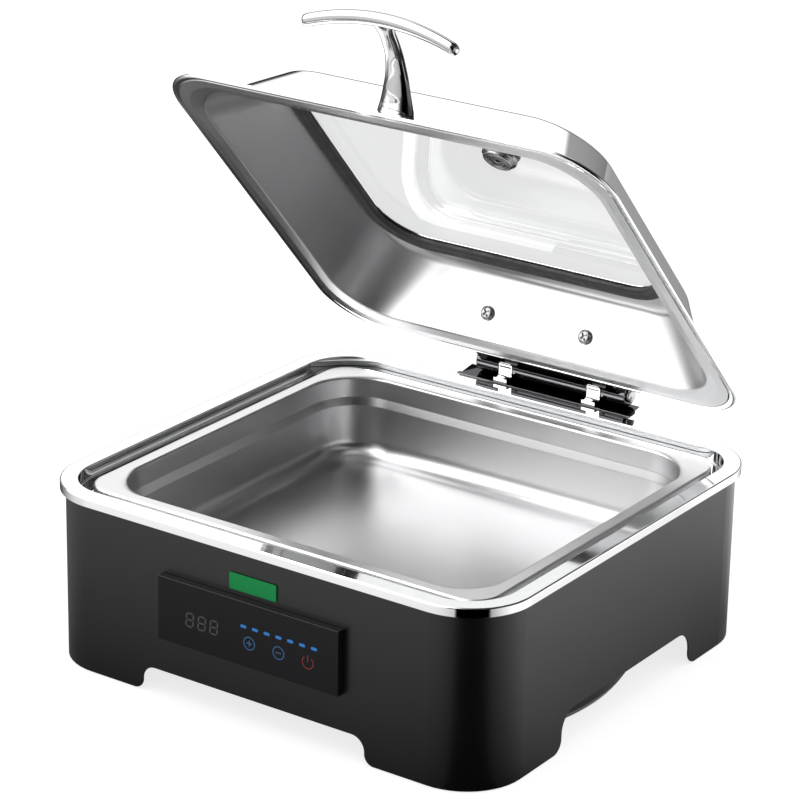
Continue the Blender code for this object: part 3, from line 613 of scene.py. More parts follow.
def build_rim():
    """Bright rim: outer band, flat top, recess wall and the ledge below the pan."""
    path = [(0, 134.0, 0.3), (0, RIM_TOP, 1.3), (13.8, RIM_TOP, 1.0), (13.8, 130.4, 1.6),
            (32, 130.4, 0.4), (32, 129.0, 0.4), (12.4, 129.0, 0.6), (12.4, 139.8, 0.5),
            (1.4, 139.8, 0.5), (1.4, 134.0, 0.3)]
    rim = swept("rim_bright", rounded(path, steps=6), RIM_X, RIM_Y, RIM_R)
    finish(rim, "chrome", "base", "chrome", "rim_frame")


def pan_radius(inset):
    """Corner radius of the food pan at an inset from its flange's edge."""
    if inset < 6:
        return 22.0 - inset
    blend = min((inset - 6) / 6, 1.0)
    return 16.0 + blend * 26.0 - 0.5 * max(inset - 12, 0)


def build_food_pan():
    """Gastronorm pan: turned-down flange, stacking shoulder, rounded floor."""
    floor, edge, sheet = 70.9, 130.8, 0.9
    inner = [(0.0, edge, 0.2), (0.0, PAN_TOP, 2.4), (12.0, PAN_TOP, 2.2), (13.1, 119.6, 4.5),
             (15.0, 112.6, 4.5), (18.6, floor, 15.0), (60.0, floor, 0)]
    outer = [(60.0, floor - sheet, 0), (17.6, floor - sheet, 15.8), (14.1, 112.3, 3.6),
             (12.2, 119.3, 5.4), (11.1, PAN_TOP - sheet, 1.4), (sheet, PAN_TOP - sheet, 1.4),
             (sheet, edge, 0.2)]
    inner, outer = (rounded(line, closed=False, steps=8) for line in (inner, outer))
    ratio = 11.3 / 12.0
    loops = [outline(PAN_X - inset, PAN_HALF_Y - inset * ratio, pan_radius(inset), z, PAN_Y)
             for inset, z in inner + outer]
    pan = vessel("food_pan_drawn", loops, len(inner) - 1)
    finish(pan, "pan", "pan", "brushed_pan", "food_pan")


def tub_outline(shrink, z):
    """Outline of the base tub: a circle cut flat at front and back."""
    radius, half = 183.0 - shrink, 125.0 - shrink
    limit, centre_y, steps = math.asin(half / radius), -12.0, 30
    points = []
    for side in (0, 1):
        for step in range(steps + 1):
            turn = side * math.pi - limit + 2 * limit * step / steps
            points.append((radius * math.cos(turn), centre_y + radius * math.sin(turn), z))
    return points


def build_tub():
    """Glossy tub under the base plate, with a rolled lower edge."""
    path = [(2, 30.8, 0), (0, 30.8, 0.5), (0, 11.0, 3.0), (4.0, 5.0, 3.0), (12.0, 3.0, 3.0),
            (40.0, 3.0, 0)]
    outer = rounded(path, closed=False, steps=5)
    inner = [(40.0, 5.0), (12.5, 5.0), (5.4, 6.8), (2.0, 12.0)]
    loops = [tub_outline(shrink, z) for shrink, z in outer + inner]
    tub = vessel("base_tub_gloss", loops, len(outer) - 1, sharp=40)
    finish(tub, "tub", "base", "black_plastic", "base_tub")


# ---- control panel

def on_panel(shapes, depth=MARK_DEPTH):
    """Thin raised marks on the lens from flat shapes of (x, z) points."""
    return [prism("mark_%d" % index, shape, PANEL_Y - depth, PANEL_Y + MARK_SINK, "Y")
            for index, shape in enumerate(shapes)]


def ring_band(name, x, z, outer, inner, start=0.0, end=360.0):
    """A thin raised ring, or part of one, on the lens."""
    near, far = PANEL_Y - MARK_DEPTH, PANEL_Y + MARK_SINK
    loops, pieces = [], 40
    whole = end - start >= 360.0
    for index in range(pieces + (0 if whole else 1)):
        turn = math.radians(start + (end - start) * index / pieces)
        spots = [(x + r * math.sin(turn), z + r * math.cos(turn)) for r in (inner, outer)]
        (ax, az), (bx, bz) = spots
        loops.append([(ax, far, az), (ax, near, az), (bx, near, bz), (bx, far, bz)])
    return loft(name, loops, ring=whole)


def bar_shape(x, z, half_x, half_z):
    return [(x - half_x, z - half_z), (x + half_x, z - half_z), (x + half_x, z + half_z),
            (x - half_x, z + half_z)]


def rounded_bar(x, z, half_x, half_z, radius):
    path = [(a, b, radius) for a, b in bar_shape(x, z, half_x, half_z)]
    return rounded(path, steps=5, hold=0.1)


def segment(x, z, length, upright, lean):
    """One long six-sided bar of a seven-bar figure."""
    half, thick = length / 2, 0.62
    flat = [(-half, 0), (-half + thick, thick), (half - thick, thick), (half, 0),
            (half - thick, -thick), (-half + thick, -thick)]
    shape = [(b, a) for a, b in flat] if upright else flat
    return [(x + a + lean * b, z + b) for a, b in shape]


def build_digits():
    """Three unlit seven-bar figures behind the lens, shown by a faint painted glow."""
    shapes = []
    lean, mid, step, half_width = 0.09, 72.6, 5.2, 3.1
    flat, tall = 5.2, 4.7
    for x in (-51.9, -41.1, -30.3):
        for level in (-1, 0, 1):
            rise = level * step
            shapes.append(segment(x + lean * rise, mid + rise, flat, False, lean))
        for level in (-0.5, 0.5):
            rise = level * step
            for side in (-1, 1):
                shapes.append(segment(x + side * half_width + lean * rise, mid + rise, tall,
                                      True, lean))
    digits = joined("display_figures", on_panel(shapes, 0.06))
    # Painted glow: the figures are unlit
    finish(digits, "faint", "base", "black_lens")


def build_touch_marks():
    """Ringed plus, ringed minus and power mark over the touch keys."""
    plus_x, minus_x, power_x, z = 1.4, 27.2, 52.8, 69.2
    ring, stroke, line = (5.1, 4.45), 2.4, MARK_LINE
    rise, half = (stroke + line) / 2 + 0.01, (stroke - line) / 2 - 0.01
    plus = [ring_band("ring", plus_x, z, *ring)]
    plus += on_panel([bar_shape(plus_x, z, stroke, line), bar_shape(plus_x, z + rise, line, half),
                      bar_shape(plus_x, z - rise, line, half)])
    finish(joined("plus_mark", plus), "ring", "base", "blue_light")
    minus = [ring_band("ring", minus_x, z, *ring)]
    minus += on_panel([bar_shape(minus_x, z, stroke, line)])
    finish(joined("minus_mark", minus), "ring", "base", "blue_light")
    power = [ring_band("arc", power_x, z, 5.0, 4.4, 38, 322)]
    power += on_panel([bar_shape(power_x, z + 3.0, line, 2.7)])
    finish(joined("power_mark", power), "red", "base", "blue_light")


def build_panel():
    """Control box: side walls, chamfered lens, light bars and touch marks."""
    whole = bar_shape(PANEL_CENTRE, PANEL_Z, PANEL_X, PANEL_HALF_Z)
    room = bar_shape(PANEL_CENTRE, PANEL_Z, PANEL_X - 2, PANEL_HALF_Z - 2)
    body = prism("panel_box", whole, PANEL_SPLIT, -WALL_FACE, "Y")
    combine(body, prism("hollow", room, PANEL_SPLIT - 1.8, -WALL_FACE - 1.2, "Y"), "DIFFERENCE")
    soften(body, 0.25)
    finish(body, "panel", "base", "black_plastic", "panel_body")
    lens = prism("panel_front", whole, PANEL_Y, PANEL_SPLIT - GAP, "Y")
    soften(lens, 0.7, 3)
    finish(lens, "lens", "base", "black_lens", "panel_lens")
    first, pitch, level = -3.8, 10.3, 81.1
    for index in range(1, 8):
        shape = rounded_bar(first + pitch * (index - 1), level, 2.6, 1.15, 1.0)
        bar = on_panel([shape], 0.1)[0]
        bar.name = "light_bar_lit_%d" % index
        finish(bar, "blue", "base", "blue_light", "light_bar_%d" % index)
    build_touch_marks()
    build_digits()
    badge = prism("badge_blank", rounded_bar(0, 110.6, 20.6, 6.4, 0.8), -WALL_FACE - 0.8,
                  -WALL_FACE, "Y")
    soften(badge, 0.2)
    finish(badge, "badge", "base", "green_badge", "badge_plate")


def build_inlet():
    """Mains inlet in the rear wall, with chamfered mouth and three pins."""
    x, z, wall = -120.0, 70.0, WALL_FACE
    flange = prism("inlet", rounded_bar(x, z, 25, 12.5, 5.0), wall, wall + 3, "Y")
    back = prism("back", bar_shape(x, z, 13.5, 9.5), wall - 22, wall + 1, "Y")
    combine(flange, back, "UNION")
    mouth = [(x - 12, z - 8), (x + 12, z - 8), (x + 12, z + 4), (x + 8, z + 8), (x - 8, z + 8),
             (x - 12, z + 4)]
    combine(flange, prism("mouth", mouth, wall - 18, wall + 6, "Y"), "DIFFERENCE")
    soften(flange, 0.4)
    finish(flange, "tub", "base", "black_plastic", "power_inlet")
    pins = []
    for offset in (-7, 0, 7):
        pin = prism("pin", bar_shape(x + offset, z, 1.0, 2.0), wall - 17.8, wall - 3, "Y")
        pins.append(soften(pin, 0.3))
    finish(joined("inlet_pins", pins), "steel", "base", "plain_steel")
    for index, side in enumerate((-1, 1), 1):
        screw("inlet", index, (x + side * 20, wall + 3, z), (0, 1, 0), (3.2, 1.8, 1.5, 2.6))


# ---- hinge

def about_pin(item):
    """Carry a piece turned about Z onto the hinge pin's axis."""
    return moved(item, along((0, PIVOT_Y, PIVOT_Z), (1, 0, 0)))


def barrel(low, high):
    """A piece of the hinge's barrel about the pin, with rounded ends."""
    radius, ease = 9.0, 0.7
    start = [(PIN_HOLE, 0), (radius - ease, 0), (radius - 0.3 * ease, 0.3 * ease),
             (radius, ease), (radius, 1.5)]
    profile = [(r, low + x) for r, x in start] + [(r, high - x) for r, x in reversed(start)]
    return about_pin(turned("barrel", profile, 56, ring=True))


def bore_out(item, reach):
    """Open the pin's hole through one half of the hinge."""
    bore = turned("bore", [(PIN_HOLE, -reach), (PIN_HOLE, reach)], 32)
    combine(item, about_pin(bore), "DIFFERENCE")


def strap_block(low, high):
    """Flat-fronted lug that carries the fixed part of the barrel."""
    front, top = PIVOT_Y - 8.8, PIVOT_Z + 5.2
    shape = [(190.9, 132.0, 0), (204.0, 138.0, 0), (212.0, 144.4, 1), (212.0, 149.0, 1),
             (PIVOT_Y, PIVOT_Z + 8.9, 2.0), (front, top, 2.5), (front, 145.4, 1.2),
             (190.9, 145.4, 0)]
    return prism("lug", rounded(shape, steps=6), low, high, "X")


def build_bracket():
    """Fixed half of the hinge, with its lugs, end cheeks and four screws."""
    half = 81.0
    face, behind_rim = 191.9, RIM_Y + 0.6
    bottom, under_rim, shelf_low, shelf_top, shelf_back = 98, 133, 139.4, 142.2, 213
    shape = [(WALL_FACE, bottom, 0.5), (face, bottom, 1.0), (face, shelf_low, 1.5),
             (shelf_back, shelf_low, 0.8), (shelf_back, shelf_top, 0.6),
             (behind_rim, shelf_top, 0.4), (behind_rim, under_rim, 0.5),
             (WALL_FACE, under_rim, 0.5)]
    bracket = prism("bracket", rounded(shape, steps=4), -half, half, "X")
    cheek = [(behind_rim, 141.6, 0.6), (219, 146.4, 0.8), (219, 124, 4), (191, 101, 2),
             (behind_rim, 101, 0.5)]
    lug = (35.0, 47.0)
    for sign in (-1, 1):
        low, high = sorted((sign * lug[0], sign * lug[1]))
        combine(bracket, strap_block(low, high), "UNION")
        combine(bracket, barrel(low, high), "UNION")
        low, high = sorted((sign * (half - 2.5), sign * (half + 0.01)))
        combine(bracket, prism("cheek", rounded(cheek, steps=5), low, high, "X"), "UNION")
    bore_out(bracket, 60)
    soften(bracket, 0.35, angle=40)
    finish(bracket, "chrome smoked", "base", "chrome", "hinge_bracket")
    # The shelf and the ends above it, between the cheeks and apart from the lugs, take the
    # darker copy of the chrome: painted shade for the gaps about the hinge's barrel
    for side in bracket.data.polygons:
        x, z = abs(side.center.x) / MM, side.center.z / MM
        on_lug = lug[0] - 0.5 < x < lug[1] + 0.5
        if z > shelf_low - 0.9 and x < half - 3 and not on_lug:
            side.material_index = 1
    for index, x in enumerate((-62.0, -21.0, 21.0, 62.0), 1):
        screw("bracket", index, (x, face, 113.0), (0, 1, 0), (4.2, 2.4, 2.0, 14))


def build_leaf():
    """Moving half of the hinge: plate on the lid's rear wall and three barrel pieces."""
    thick, low = 2.2, 4.6
    top, off_wall = 34.0, 0.4
    near = wall_point(BACK_WALL, top, off_wall)
    far = wall_point(BACK_WALL, top, off_wall + thick)
    run = 1.0 / BACK_WALL[2]
    inner_bend = near[0] - (near[1] - low) * run
    outer_bend = far[0] - (far[1] - low - thick) * run
    tail = -27.0
    corners = [(tail, low, 0), (inner_bend, low, 1.5), (*near, 0.8), (*far, 0.8),
               (outer_bend, low + thick, 3.0), (tail, low + thick, 0)]
    shape = [lid_back(*corner) for corner in rounded(corners, steps=6)]
    leaf = prism("leaf", shape, -64.0, 64.0, "X")
    for sign in (-1, 1):
        start, end = sorted((sign * 34.7, sign * 47.3))
        combine(leaf, block("notch", (start, PIVOT_Y - 12.2, 130), (end, 220, 170)),
                "DIFFERENCE")
    for start, end in ((-69.0, -47.3), (-34.7, 34.7), (47.3, 69.0)):
        combine(leaf, barrel(start, end), "UNION")
    bore_out(leaf, 80)
    soften(leaf, 0.3, angle=40)
    # The whole leaf takes the darker chrome copy: painted shade
    finish(leaf, "smoked", "lid", "chrome", "hinge_leaf")


def build_hinge_fasteners():
    """Pin, two screws inside the rear wall and their nuts outside."""
    end = 69.3
    head = [(4.6, -end - 2), (5.3, -end - 1.7), (5.6, -end - 1.0), (5.6, -end), (3.0, -end)]
    profile = head + [(radius, -z) for radius, z in reversed(head)]
    pin = about_pin(turned("hinge_axle", profile))
    finish(pin, "steel", "base", "plain_steel", "hinge_pin")
    inward = wall_inward(BACK_WALL, False)
    across, height = 45.0, 22.6
    for index, sign in enumerate((-1, 1), 1):
        y, z = lid_back(*wall_point(BACK_WALL, height, -SHEET - 0.1))
        screw("hinge", index, (sign * across, y, z), inward, (5.8, 3.0, 2.0, 10), "lid")
        y, z = lid_back(*wall_point(BACK_WALL, height, 2.9))
        nut = turned("nut", [(2.3, 0), (3.9, 0), (4.2, 0.4), (4.2, 2.8), (3.8, 3.2), (2.3, 3.2)],
                     6, ring=True)
        nut.name = "hinge_nut_hex_%d" % index
        shade(nut.data, 20)
        moved(nut, along((sign * across, y, z), -inward))
        finish(nut, "steel", "lid", "plain_steel", "hinge_nut_%d" % index)


# ---- lid

def back_lead(height):
    """How much further out the steeper rear wall stands than the side walls."""
    lead = SIDE_WALL[0] - BACK_WALL[0]
    lip, top = 2.8, 47.7
    if height <= lip:
        return 0.0
    if height <= SIDE_WALL[1]:
        return lead * (height - lip) / (SIDE_WALL[1] - lip)
    rise = min(height, top) - SIDE_WALL[1]
    return lead + rise / SIDE_WALL[2] - rise / BACK_WALL[2]


def lid_outline(inset, height):
    """Outline of the lid at a height, with corners that grow rounder towards the roof."""
    lead = back_lead(height)
    radius = LID_R - 0.14 * inset + 12.0 * min(inset / 55.0, 1.0) ** 2
    return outline(LID_X - inset, LID_Y - inset + lead / 2, radius, LID_LOW + height,
                   LID_CENTRE + lead / 2, steps=16)


def window_outline(grow, height):
    """Outline of the lid's window, grown outwards by a distance."""
    front = LID_CENTRE - LID_Y + WINDOW_FRONT
    back = LID_CENTRE + LID_Y - WINDOW_BACK
    return outline(LID_X - WINDOW_FRONT + grow, (back - front) / 2 + grow, WINDOW_R + grow,
                   LID_LOW + height, (front + back) / 2, steps=16)


def lid_lines():
    """Outer and inner (inset, height) lines of the lid's wall, from lip to roof."""
    above = 58.0

    def crown(height, distance):
        """Inset at a height on the wall's line, or on one beside it."""
        inset, top = wall_point(SIDE_WALL, above, distance)
        return inset - (top - height) / SIDE_WALL[2]

    roof, ceiling, roof_in = LID_DEPTH, LID_DEPTH - SHEET, 60.5
    outer = [(1.6, 3.2, 0), (3.6, 2.7, 0.8), (13.0, 2.7, 3.0), (20.6, 4.6, 3.0),
             (crown(roof, 0.0), roof, 11.0), (roof_in, roof, 0)]
    inner = [(1.6, 0.0, 0), (3.7, 0.75, 0.5), (4.6, 0.3, 0.6), (11.6, 0.3, 2.6),
             (19.2, 2.2, 3.4), (crown(ceiling, -SHEET), ceiling, 9.8), (roof_in, ceiling, 0)]
    return [rounded(line, closed=False, steps=CORNER_STEPS) for line in (outer, inner)]


def build_lid_shell():
    """Drawn lid: rolled lip, sloping walls, roof with a window; bright out, satin in."""
    outer, inner = lid_lines()
    radius = 1.6
    bead = arc(radius, radius, radius, -math.pi / 2, -1.5 * math.pi, 10)[1:-1]
    loops = [lid_outline(*point) for point in outer]
    ceiling = LID_DEPTH - SHEET
    loops += [window_outline(0.4, LID_DEPTH), window_outline(0, LID_DEPTH - 0.3),
              window_outline(0, ceiling + 0.3), window_outline(0.4, ceiling)]
    first_satin = len(loops) - 1
    loops += [lid_outline(*point) for point in reversed(inner)]
    edge_loops = 2 * CORNER_LOOPS + 1     # from the lip's flat underside to the bead
    last_satin = len(loops) - edge_loops
    loops += [lid_outline(*point) for point in bead]
    slots = [1 if first_satin <= row < last_satin else 0 for row in range(len(loops))]
    shell = loft("lid_drawn", loops, ring=True, row_slots=slots, sharp=40)
    finish(shell, "chrome satin", "lid", "chrome", "lid_shell")


def build_glazing():
    """Pane, its seal, and the vent clamped through the pane."""
    top = LID_DEPTH - SHEET - GAP
    low = top - 4.5
    pane = loft("pane", [window_outline(6.2, low), window_outline(6.5, low + 0.3),
                         window_outline(6.5, top - 0.3), window_outline(6.2, top)])
    hole = moved(turned("hole", [(6.3, -10), (6.3, 10)]),
                 Matrix.Translation((*VENT, LID_LOW + low)))
    combine(pane, hole, "DIFFERENCE")
    finish(pane, "glass", "lid", "clear_glass", "lid_glass")
    base, high = low - 4.4, low - GAP
    path = [(8.5, high, 0.3), (-3.0, high, 0.3), (-3.0, base + 1.6, 0.6), (-1.2, base, 1.0),
            (2.2, base, 0.6), (2.8, base + 0.7, 0.4), (3.4, base, 0.6), (7.6, base, 1.0),
            (8.5, base + 1.0, 0.8)]
    gasket = loft("window_seal", [window_outline(grow, z) for grow, z in rounded(path, steps=4)],
                  ring=True)
    finish(gasket, "gasket", "lid", "dark_rubber", "lid_gasket")
    build_vent(low - GAP, top + GAP)


def build_vent(under, over):
    """Vent's ring below the pane and its body through the pane, between two heights."""
    path = [(6.4, under, 0), (13.8, under, 0.5), (13.8, under - 3.2, 0.9),
            (12.6, under - 3.2, 0.4), (12.6, under - 4.4, 0.3), (11.6, under - 4.4, 0.4),
            (11.6, under - 6.2, 1.1), (9.0, under - 6.2, 0.4), (8.6, under - 5.8, 0.3),
            (8.2, under - 6.2, 0.4), (6.4, under - 6.2, 0.3)]
    nut = turned("vent_ring", rounded(path, steps=5), 64, ring=True)
    for turn in (0.5, 0.5 + math.pi):
        reach = Matrix.Rotation(turn, 4, "Z")
        notch = block("notch", (10.6, -2.0, under - 8), (16, 2.0, under - 2.0))
        combine(nut, moved(notch, reach), "DIFFERENCE")
    path = [(2.0, under - 5.7, 0.4), (6.0, under - 5.7, 0.3), (6.0, over, 0),
            (14.0, over, 0.3), (14.0, over + 2.3, 1.2), (8.6, over + 4.3, 1.6),
            (2.0, over + 4.3, 0.4)]
    bush = turned("vent_core", rounded(path, steps=5), 64, ring=True)
    for item, node in ((nut, "vent_nut"), (bush, "vent_bush")):
        moved(item, Matrix.Translation((*VENT, LID_LOW)))
        finish(item, "stem", "lid", "chrome", node)


def oval(centre, across, upward, half_width, half_thick, power):
    """Rounded section about a centre; a power above 2 makes it squarer."""
    points, sides = [], 40
    for step in range(sides):
        turn = 2 * math.pi * step / sides
        c, s = math.cos(turn), math.sin(turn)
        a = math.copysign(abs(c) ** (2 / power), c) * half_width
        b = math.copysign(abs(s) ** (2 / power), s) * half_thick
        points.append(tuple(Vector(centre) + Vector(across) * a + Vector(upward) * b))
    return points


def build_bar():
    """Arched cross bar of the handle, with rounded ends."""
    y_mid, z_mid = lid_front(-33.0, 56.6)
    half, stations = 65.8, 80
    drop, sweep, span = 9.0, 6.0, 65.0    # how far the bar falls and sweeps back over a span
    loops = []
    for step in range(stations + 1):
        x = half * math.sin(math.pi * (step / stations - 0.5))
        fall = drop * (x / span) ** 2
        back = sweep * (x / span) ** 2
        tilt = math.atan(2 * drop * x / span ** 2)
        blunt = max((1 - abs(x / half) ** 60) ** 0.5, 0.35)
        upward = Vector((math.sin(tilt), 0, math.cos(tilt)))
        slim = 1.0 - 0.10 * (x / half) ** 2
        loops.append(oval((x, y_mid + back, z_mid - fall), (0, 1, 0), upward,
                          5.7 * blunt * slim, 4.5 * blunt * slim, 2.3))
    bar = loft("handle_bar_arched", loops, sharp=50)
    # Darker chrome copy: painted shade on the bar
    finish(bar, "handle", "lid", "chrome", "handle_bar")


def spline(points, samples):
    """Smooth run through points of any size (uniform Catmull-Rom)."""
    out = []
    last = len(points) - 1
    for index in range(samples + 1):
        place = last * index / samples
        base = min(int(place), last - 1)
        t = place - base
        quad = [points[max(base - 1, 0)], points[base], points[base + 1],
                points[min(base + 2, last)]]
        value = []
        for a, b, c, d in zip(*quad):
            value.append(0.5 * (2 * b + (c - a) * t + (2 * a - 5 * b + 4 * c - d) * t * t
                                + (3 * b - a - 3 * c + d) * t ** 3))
        out.append(tuple(value))
    return out


def build_stem():
    """Curved stem from a wide foot on the lid's front wall up to the bar."""
    foot = wall_point(SIDE_WALL, STEM_HEIGHT, GAP)
    stations = [(*foot, 14.6, 7.6), (28.0, 28.0, 13.1, 6.6), (21.6, 34.1, 11.3, 5.7),
                (14.6, 40.3, 9.5, 5.0), (7.0, 45.4, 8.1, 4.6), (-1.4, 49.8, 7.1, 4.4),
                (-11.5, 53.0, 6.6, 4.3), (-20.5, 54.8, 6.7, 4.2), (-27.5, 55.7, 8.2, 4.1),
                (-31.5, 56.2, 10.5, 3.9)]
    run = spline(stations, 60)
    centres = [lid_front(inset, height) for inset, height, _, _ in run]
    inward = wall_inward(SIDE_WALL, True)
    loops = []
    turned_loops = 6      # the first loops turn from the wall's direction to the stem's own
    for index, (_, _, half_width, half_thick) in enumerate(run):
        y_before, z_before = centres[max(index - 1, 0)]
        y_after, z_after = centres[min(index + 1, len(centres) - 1)]
        ahead = Vector((0, y_after - y_before, z_after - z_before)).normalized()
        share = max(1 - index / turned_loops, 0)
        ahead = (ahead * (1 - share) - inward * share).normalized()
        side = Vector((0, ahead.z, -ahead.y))
        y, z = centres[index]
        loops.append(oval((0, y, z), (1, 0, 0), side, half_width, half_thick, 2.3))
    stem = loft("handle_stem_curved", loops, sharp=50)
    # Darker chrome copy: painted shade on the stem
    finish(stem, "stem", "lid", "chrome", "handle_stem")
    y, z = lid_front(*wall_point(SIDE_WALL, STEM_HEIGHT, -SHEET - 0.1))
    for index, x in enumerate((-8.0, 8.0), 1):
        screw("handle", index, (x, y, z), inward, (4.0, 2.4, 1.9, 6), "lid")


# ---- carried-over nodes

def dress_frame_nodes():
    """Give the CAD nodes that stay in view their procedural looks."""
    wanted = {
        "pan": "water_pan", "aluminium": "heating_plate", "steel": "heating_element",
        "board": "insulation_board thermal_cutout", "brass": "temperature_sensor",
        "paint": "base_plate", "lens": "display_module",
        "circuit": "control_board touch_pad_plus touch_pad_minus touch_pad_power",
        "rubber": "rubber_foot_1 rubber_foot_2 rubber_foot_3 rubber_foot_4",
    }
    for look, nodes in wanted.items():
        for node in nodes.split():
            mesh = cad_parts[node].data
            mesh.materials.clear()
            mesh.materials.append(LOOKS[look])


def build_base_screws():
    """Four screws that hold the base plate from below."""
    for index, (x, y) in enumerate(((-160, -165), (160, -165), (-160, 165), (160, 165)), 1):
        screw("base", index, (x, y, 31.1), (0, 0, -1), (4.0, 2.2, 2.0, 9))


# ---- stage

def heading(azimuth, elevation):
    """Direction at an angle from -Y towards +X and an angle above the floor, in degrees."""
    a, e = math.radians(azimuth), math.radians(elevation)
    return Vector((math.sin(a) * math.cos(e), -math.cos(a) * math.cos(e), math.sin(e)))


class Shades(Nodes):
    """Nodes that work out a light's brightness from a place or a direction."""

    def math(self, operation, first, second=0.0):
        node = self.add("ShaderNodeMath", operation=operation)
        self.feed(first, node.inputs[0])
        self.feed(second, node.inputs[1])
        return node.outputs[0]

    def minus(self, first, second):
        return self.math("SUBTRACT", first, second)

    def times(self, first, second):
        return self.math("MULTIPLY", first, second)

    def ramp(self, source, low, high, stops):
        """Brightness from (value, brightness) stops over a range of the source."""
        part = self.math("DIVIDE", self.minus(source, low), high - low)
        node = self.add("ShaderNodeValToRGB")
        elements = node.color_ramp.elements
        while len(elements) > 1:
            elements.remove(elements[-1])
        for index, (value, level) in enumerate(stops):
            place = (value - low) / (high - low)
            element = elements[0] if index == 0 else elements.new(place)
            element.position = place
            element.color = (level, level, level, 1)
        self.link(part, node.inputs["Fac"])
        return node.outputs["Color"]

    def bearing(self, x, y):
        """Angle from -Y towards +X, in degrees."""
        return self.times(self.math("ARCTAN2", x, self.times(y, -1.0)), 180 / math.pi)

    def towards(self, direction, azimuth, elevation, inner, outer):
        """One inside a cone of directions, fading to nothing at its outer angle."""
        node = self.add("ShaderNodeVectorMath", operation="DOT_PRODUCT")
        self.link(direction, node.inputs[0])
        node.inputs[1].default_value = heading(azimuth, elevation)
        fade = self.add("ShaderNodeMapRange", interpolation_type="SMOOTHSTEP",
                        From_Min=math.cos(math.radians(outer)),
                        From_Max=math.cos(math.radians(inner)))
        self.link(node.outputs["Value"], fade.inputs["Value"])
        return fade.outputs["Result"]

    def blend(self, factor, first, second):
        node = self.add("ShaderNodeMix", data_type="FLOAT")
        for socket, value in ((0, factor), (2, first), (3, second)):
            self.feed(value, node.inputs[socket])
        return node.outputs[0]


# What polished surfaces see above the floor: cones of (azimuth, elevation, inner, outer, level)
SURROUND = 0.45
SOFTBOXES = ((0, 90, 20, 55, 0.9), (-142, 42, 25, 29, 1.7), (-45, 12, 24, 44, 2.4),
             (-58, 50, 26, 40, 4.0), (40, 12, 28, 50, 0.0), (110, 50, 35, 60, 0.05),
             (-145, -2, 10, 12, 0.0), (-145, 66, 9, 13, 0.05))

# What they see on the floor, by the bearing from the near corner and from the middle
CORNER_BEARINGS = ((-180, 0.6), (-35, 0.6), (13, 0.35), (16, 0.0), (64, 0.0), (67, 0.25),
                   (135, 1.0), (180, 1.0))
MIDDLE_BEARINGS = ((-180, 0.8), (-142, 0.8), (-136, 0.08), (-96, 0.08), (-62, 0.6), (-45, 1.0),
                   (165, 1.0), (180, 0.8))
ALL_ROUND = (-180, 180)

# ...and by the distance from the object in metres, out to the end of each span
# NEAR_PAINTED_SHADOW is painted shadow: the card is darker near the object, as its shade on the
# floor would be
NEAR_SPAN, NEAR_PAINTED_SHADOW = (0.0, 0.34), ((0.0, 0.16), (0.34, 1.0))
FAR_SPAN = (0.0, 3.0)
FAR_FLOOR = ((0.0, 1.0), (0.8, 1.0), (0.95, 0.02), (3.0, 0.02))
FAR_BEARINGS = ((-180, 1.0), (2, 1.0), (12, 0.0), (72, 0.0), (78, 0.8), (94, 0.8), (100, 0.0),
                (160, 0.0), (168, 1.0), (180, 1.0))
FLOOR_LEVEL = 2.0


def plane(name, size, height):
    mesh = bpy.data.meshes.new(name)
    work = bmesh.new()
    bmesh.ops.create_grid(work, x_segments=8, y_segments=8, size=size)
    work.to_mesh(mesh)
    work.free()
    item = new_object(name, mesh)
    item.location.z = height
    return item


def build_reflected_floor():
    """Graded card on the floor that only reflections show: painted shadow darkens it near
    the object, where the object's own shade would lie on the floor; it is black towards
    the near corner and behind."""
    item = plane("reflected_floor", 9.0, 0.0004)
    for kind in ("camera", "diffuse", "transmission", "shadow"):
        setattr(item, "visible_" + kind, False)
    material = bpy.data.materials.new("graded_card")
    material.use_nodes = True
    shades = Shades(material.node_tree)
    shades.tree.nodes.clear()
    split = shades.add("ShaderNodeSeparateXYZ")
    shades.link(shades.add("ShaderNodeTexCoord").outputs["Object"], split.inputs[0])
    x, y = split.outputs["X"], split.outputs["Y"]
    near_x = shades.minus(shades.math("ABSOLUTE", x), BODY_X * MM)
    centred = shades.math("ABSOLUTE", shades.minus(y, SHIFT_Y * MM))
    near = shades.math("MAXIMUM", near_x, shades.minus(centred, BODY_Y * MM))
    corner_x, corner_y = (BODY_X - BODY_R) * MM, (BODY_R - BODY_Y + SHIFT_Y) * MM
    corner = shades.bearing(shades.minus(x, corner_x), shades.minus(y, corner_y))
    middle = shades.bearing(x, y)
    # Painted shadow near the object, times the darker bearings
    level = shades.times(shades.ramp(near, *NEAR_SPAN, NEAR_PAINTED_SHADOW),
                         shades.ramp(corner, *ALL_ROUND, CORNER_BEARINGS))
    level = shades.times(level, shades.ramp(middle, *ALL_ROUND, MIDDLE_BEARINGS))
    far = shades.math("MAXIMUM", shades.ramp(near, *FAR_SPAN, FAR_FLOOR),
                      shades.ramp(middle, *ALL_ROUND, FAR_BEARINGS))
    glow = shades.add("ShaderNodeEmission")
    shades.link(shades.times(shades.times(level, far), FLOOR_LEVEL), glow.inputs["Strength"])
    shades.link(glow.outputs[0], shades.add("ShaderNodeOutputMaterial").inputs["Surface"])
    item.data.materials.append(material)


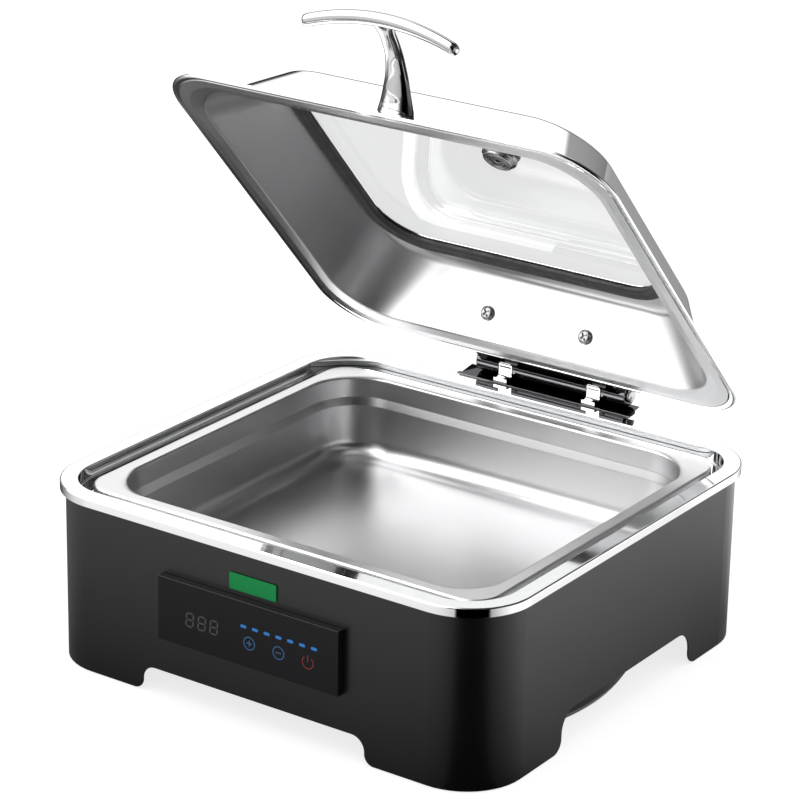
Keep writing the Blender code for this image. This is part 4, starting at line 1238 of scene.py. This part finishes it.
def build_surroundings():
    """Pale surroundings; polished surfaces see soft boxes and dark flags instead."""
    world = bpy.data.worlds.new("studio")
    bpy.context.scene.world = world
    world.use_nodes = True
    shades = Shades(world.node_tree)
    shades.tree.nodes.clear()
    direction = shades.add("ShaderNodeTexCoord").outputs["Generated"]
    level = SURROUND
    for azimuth, elevation, inner, outer, value in SOFTBOXES:
        inside = shades.towards(direction, azimuth, elevation, inner, outer)
        level = shades.blend(inside, level, value)
    white = (1, 1, 1, 1)
    shaped = shades.add("ShaderNodeBackground", Color=white)
    shades.link(level, shaped.inputs["Strength"])
    plain = shades.add("ShaderNodeBackground", Color=white, Strength=0.95)
    mix = shades.add("ShaderNodeMixShader")
    path = shades.add("ShaderNodeLightPath")
    for socket, source in enumerate((path.outputs["Is Glossy Ray"], plain.outputs[0],
                                     shaped.outputs[0])):
        shades.link(source, mix.inputs[socket])
    shades.link(mix.outputs[0], shades.add("ShaderNodeOutputWorld").inputs["Surface"])


def build_stage():
    """Pale floor, surroundings and one soft lamp overhead."""
    floor = plane("floor", 9.0, 0.0)
    floor.visible_glossy = False
    look = Look("pale_floor", (0.35, 0.35, 0.35), 0.9)
    look.put(Specular_IOR_Level=0.1, Emission_Color=(1, 1, 1, 1), Emission_Strength=0.78)
    look.colours(3, 2, (0.345, 0.345, 0.345), (0.355, 0.355, 0.355))
    floor.data.materials.append(look.material)
    build_reflected_floor()
    build_surroundings()
    lamp("top_softbox", (-0.3, -0.4, 2.6), (0, 0, 0.1), 2.4, 22)


def lamp(name, place, aim, size, watts):
    """Soft square lamp pointed at a place."""
    data = bpy.data.lights.new(name, "AREA")
    data.size = size
    data.energy = watts
    item = new_object(name, data)
    item.location = place
    direction = Vector(aim) - Vector(place)
    item.rotation_euler = direction.to_track_quat("-Z", "Y").to_euler()
    item.visible_glossy = False


def build_camera():
    """Long lens looking down at the front right corner."""
    azimuth, elevation, turn = CAMERA_ANGLES
    back, roll = heading(azimuth, elevation), math.radians(turn)
    right = Vector((0, 0, 1)).cross(back).normalized()
    upward = back.cross(right)
    x_axis = math.cos(roll) * right + math.sin(roll) * upward
    y_axis = -math.sin(roll) * right + math.cos(roll) * upward
    x, y, z = CAMERA_PLACE
    place = Vector((x, y + SHIFT_Y, z)) * MM
    data = bpy.data.cameras.new("camera")
    data.sensor_width = 36.0
    data.lens = LENS
    data.shift_x, data.shift_y = LENS_SHIFT
    data.clip_end = 60
    item = new_object("camera", data)
    columns = Matrix((x_axis, y_axis, back)).transposed().to_4x4()
    item.matrix_world = Matrix.Translation(place) @ columns
    bpy.context.scene.camera = item


def main():
    scene = bpy.context.scene
    scene.view_settings.view_transform = "Standard"
    scene.cycles.use_denoising = True
    build_housing()
    build_rim()
    build_food_pan()
    build_tub()
    build_panel()
    build_inlet()
    build_bracket()
    build_leaf()
    build_hinge_fasteners()
    build_lid_shell()
    build_glazing()
    build_bar()
    build_stem()
    build_base_screws()
    dress_frame_nodes()
    build_stage()
    build_camera()


main()
bpy.context.view_layer.update()
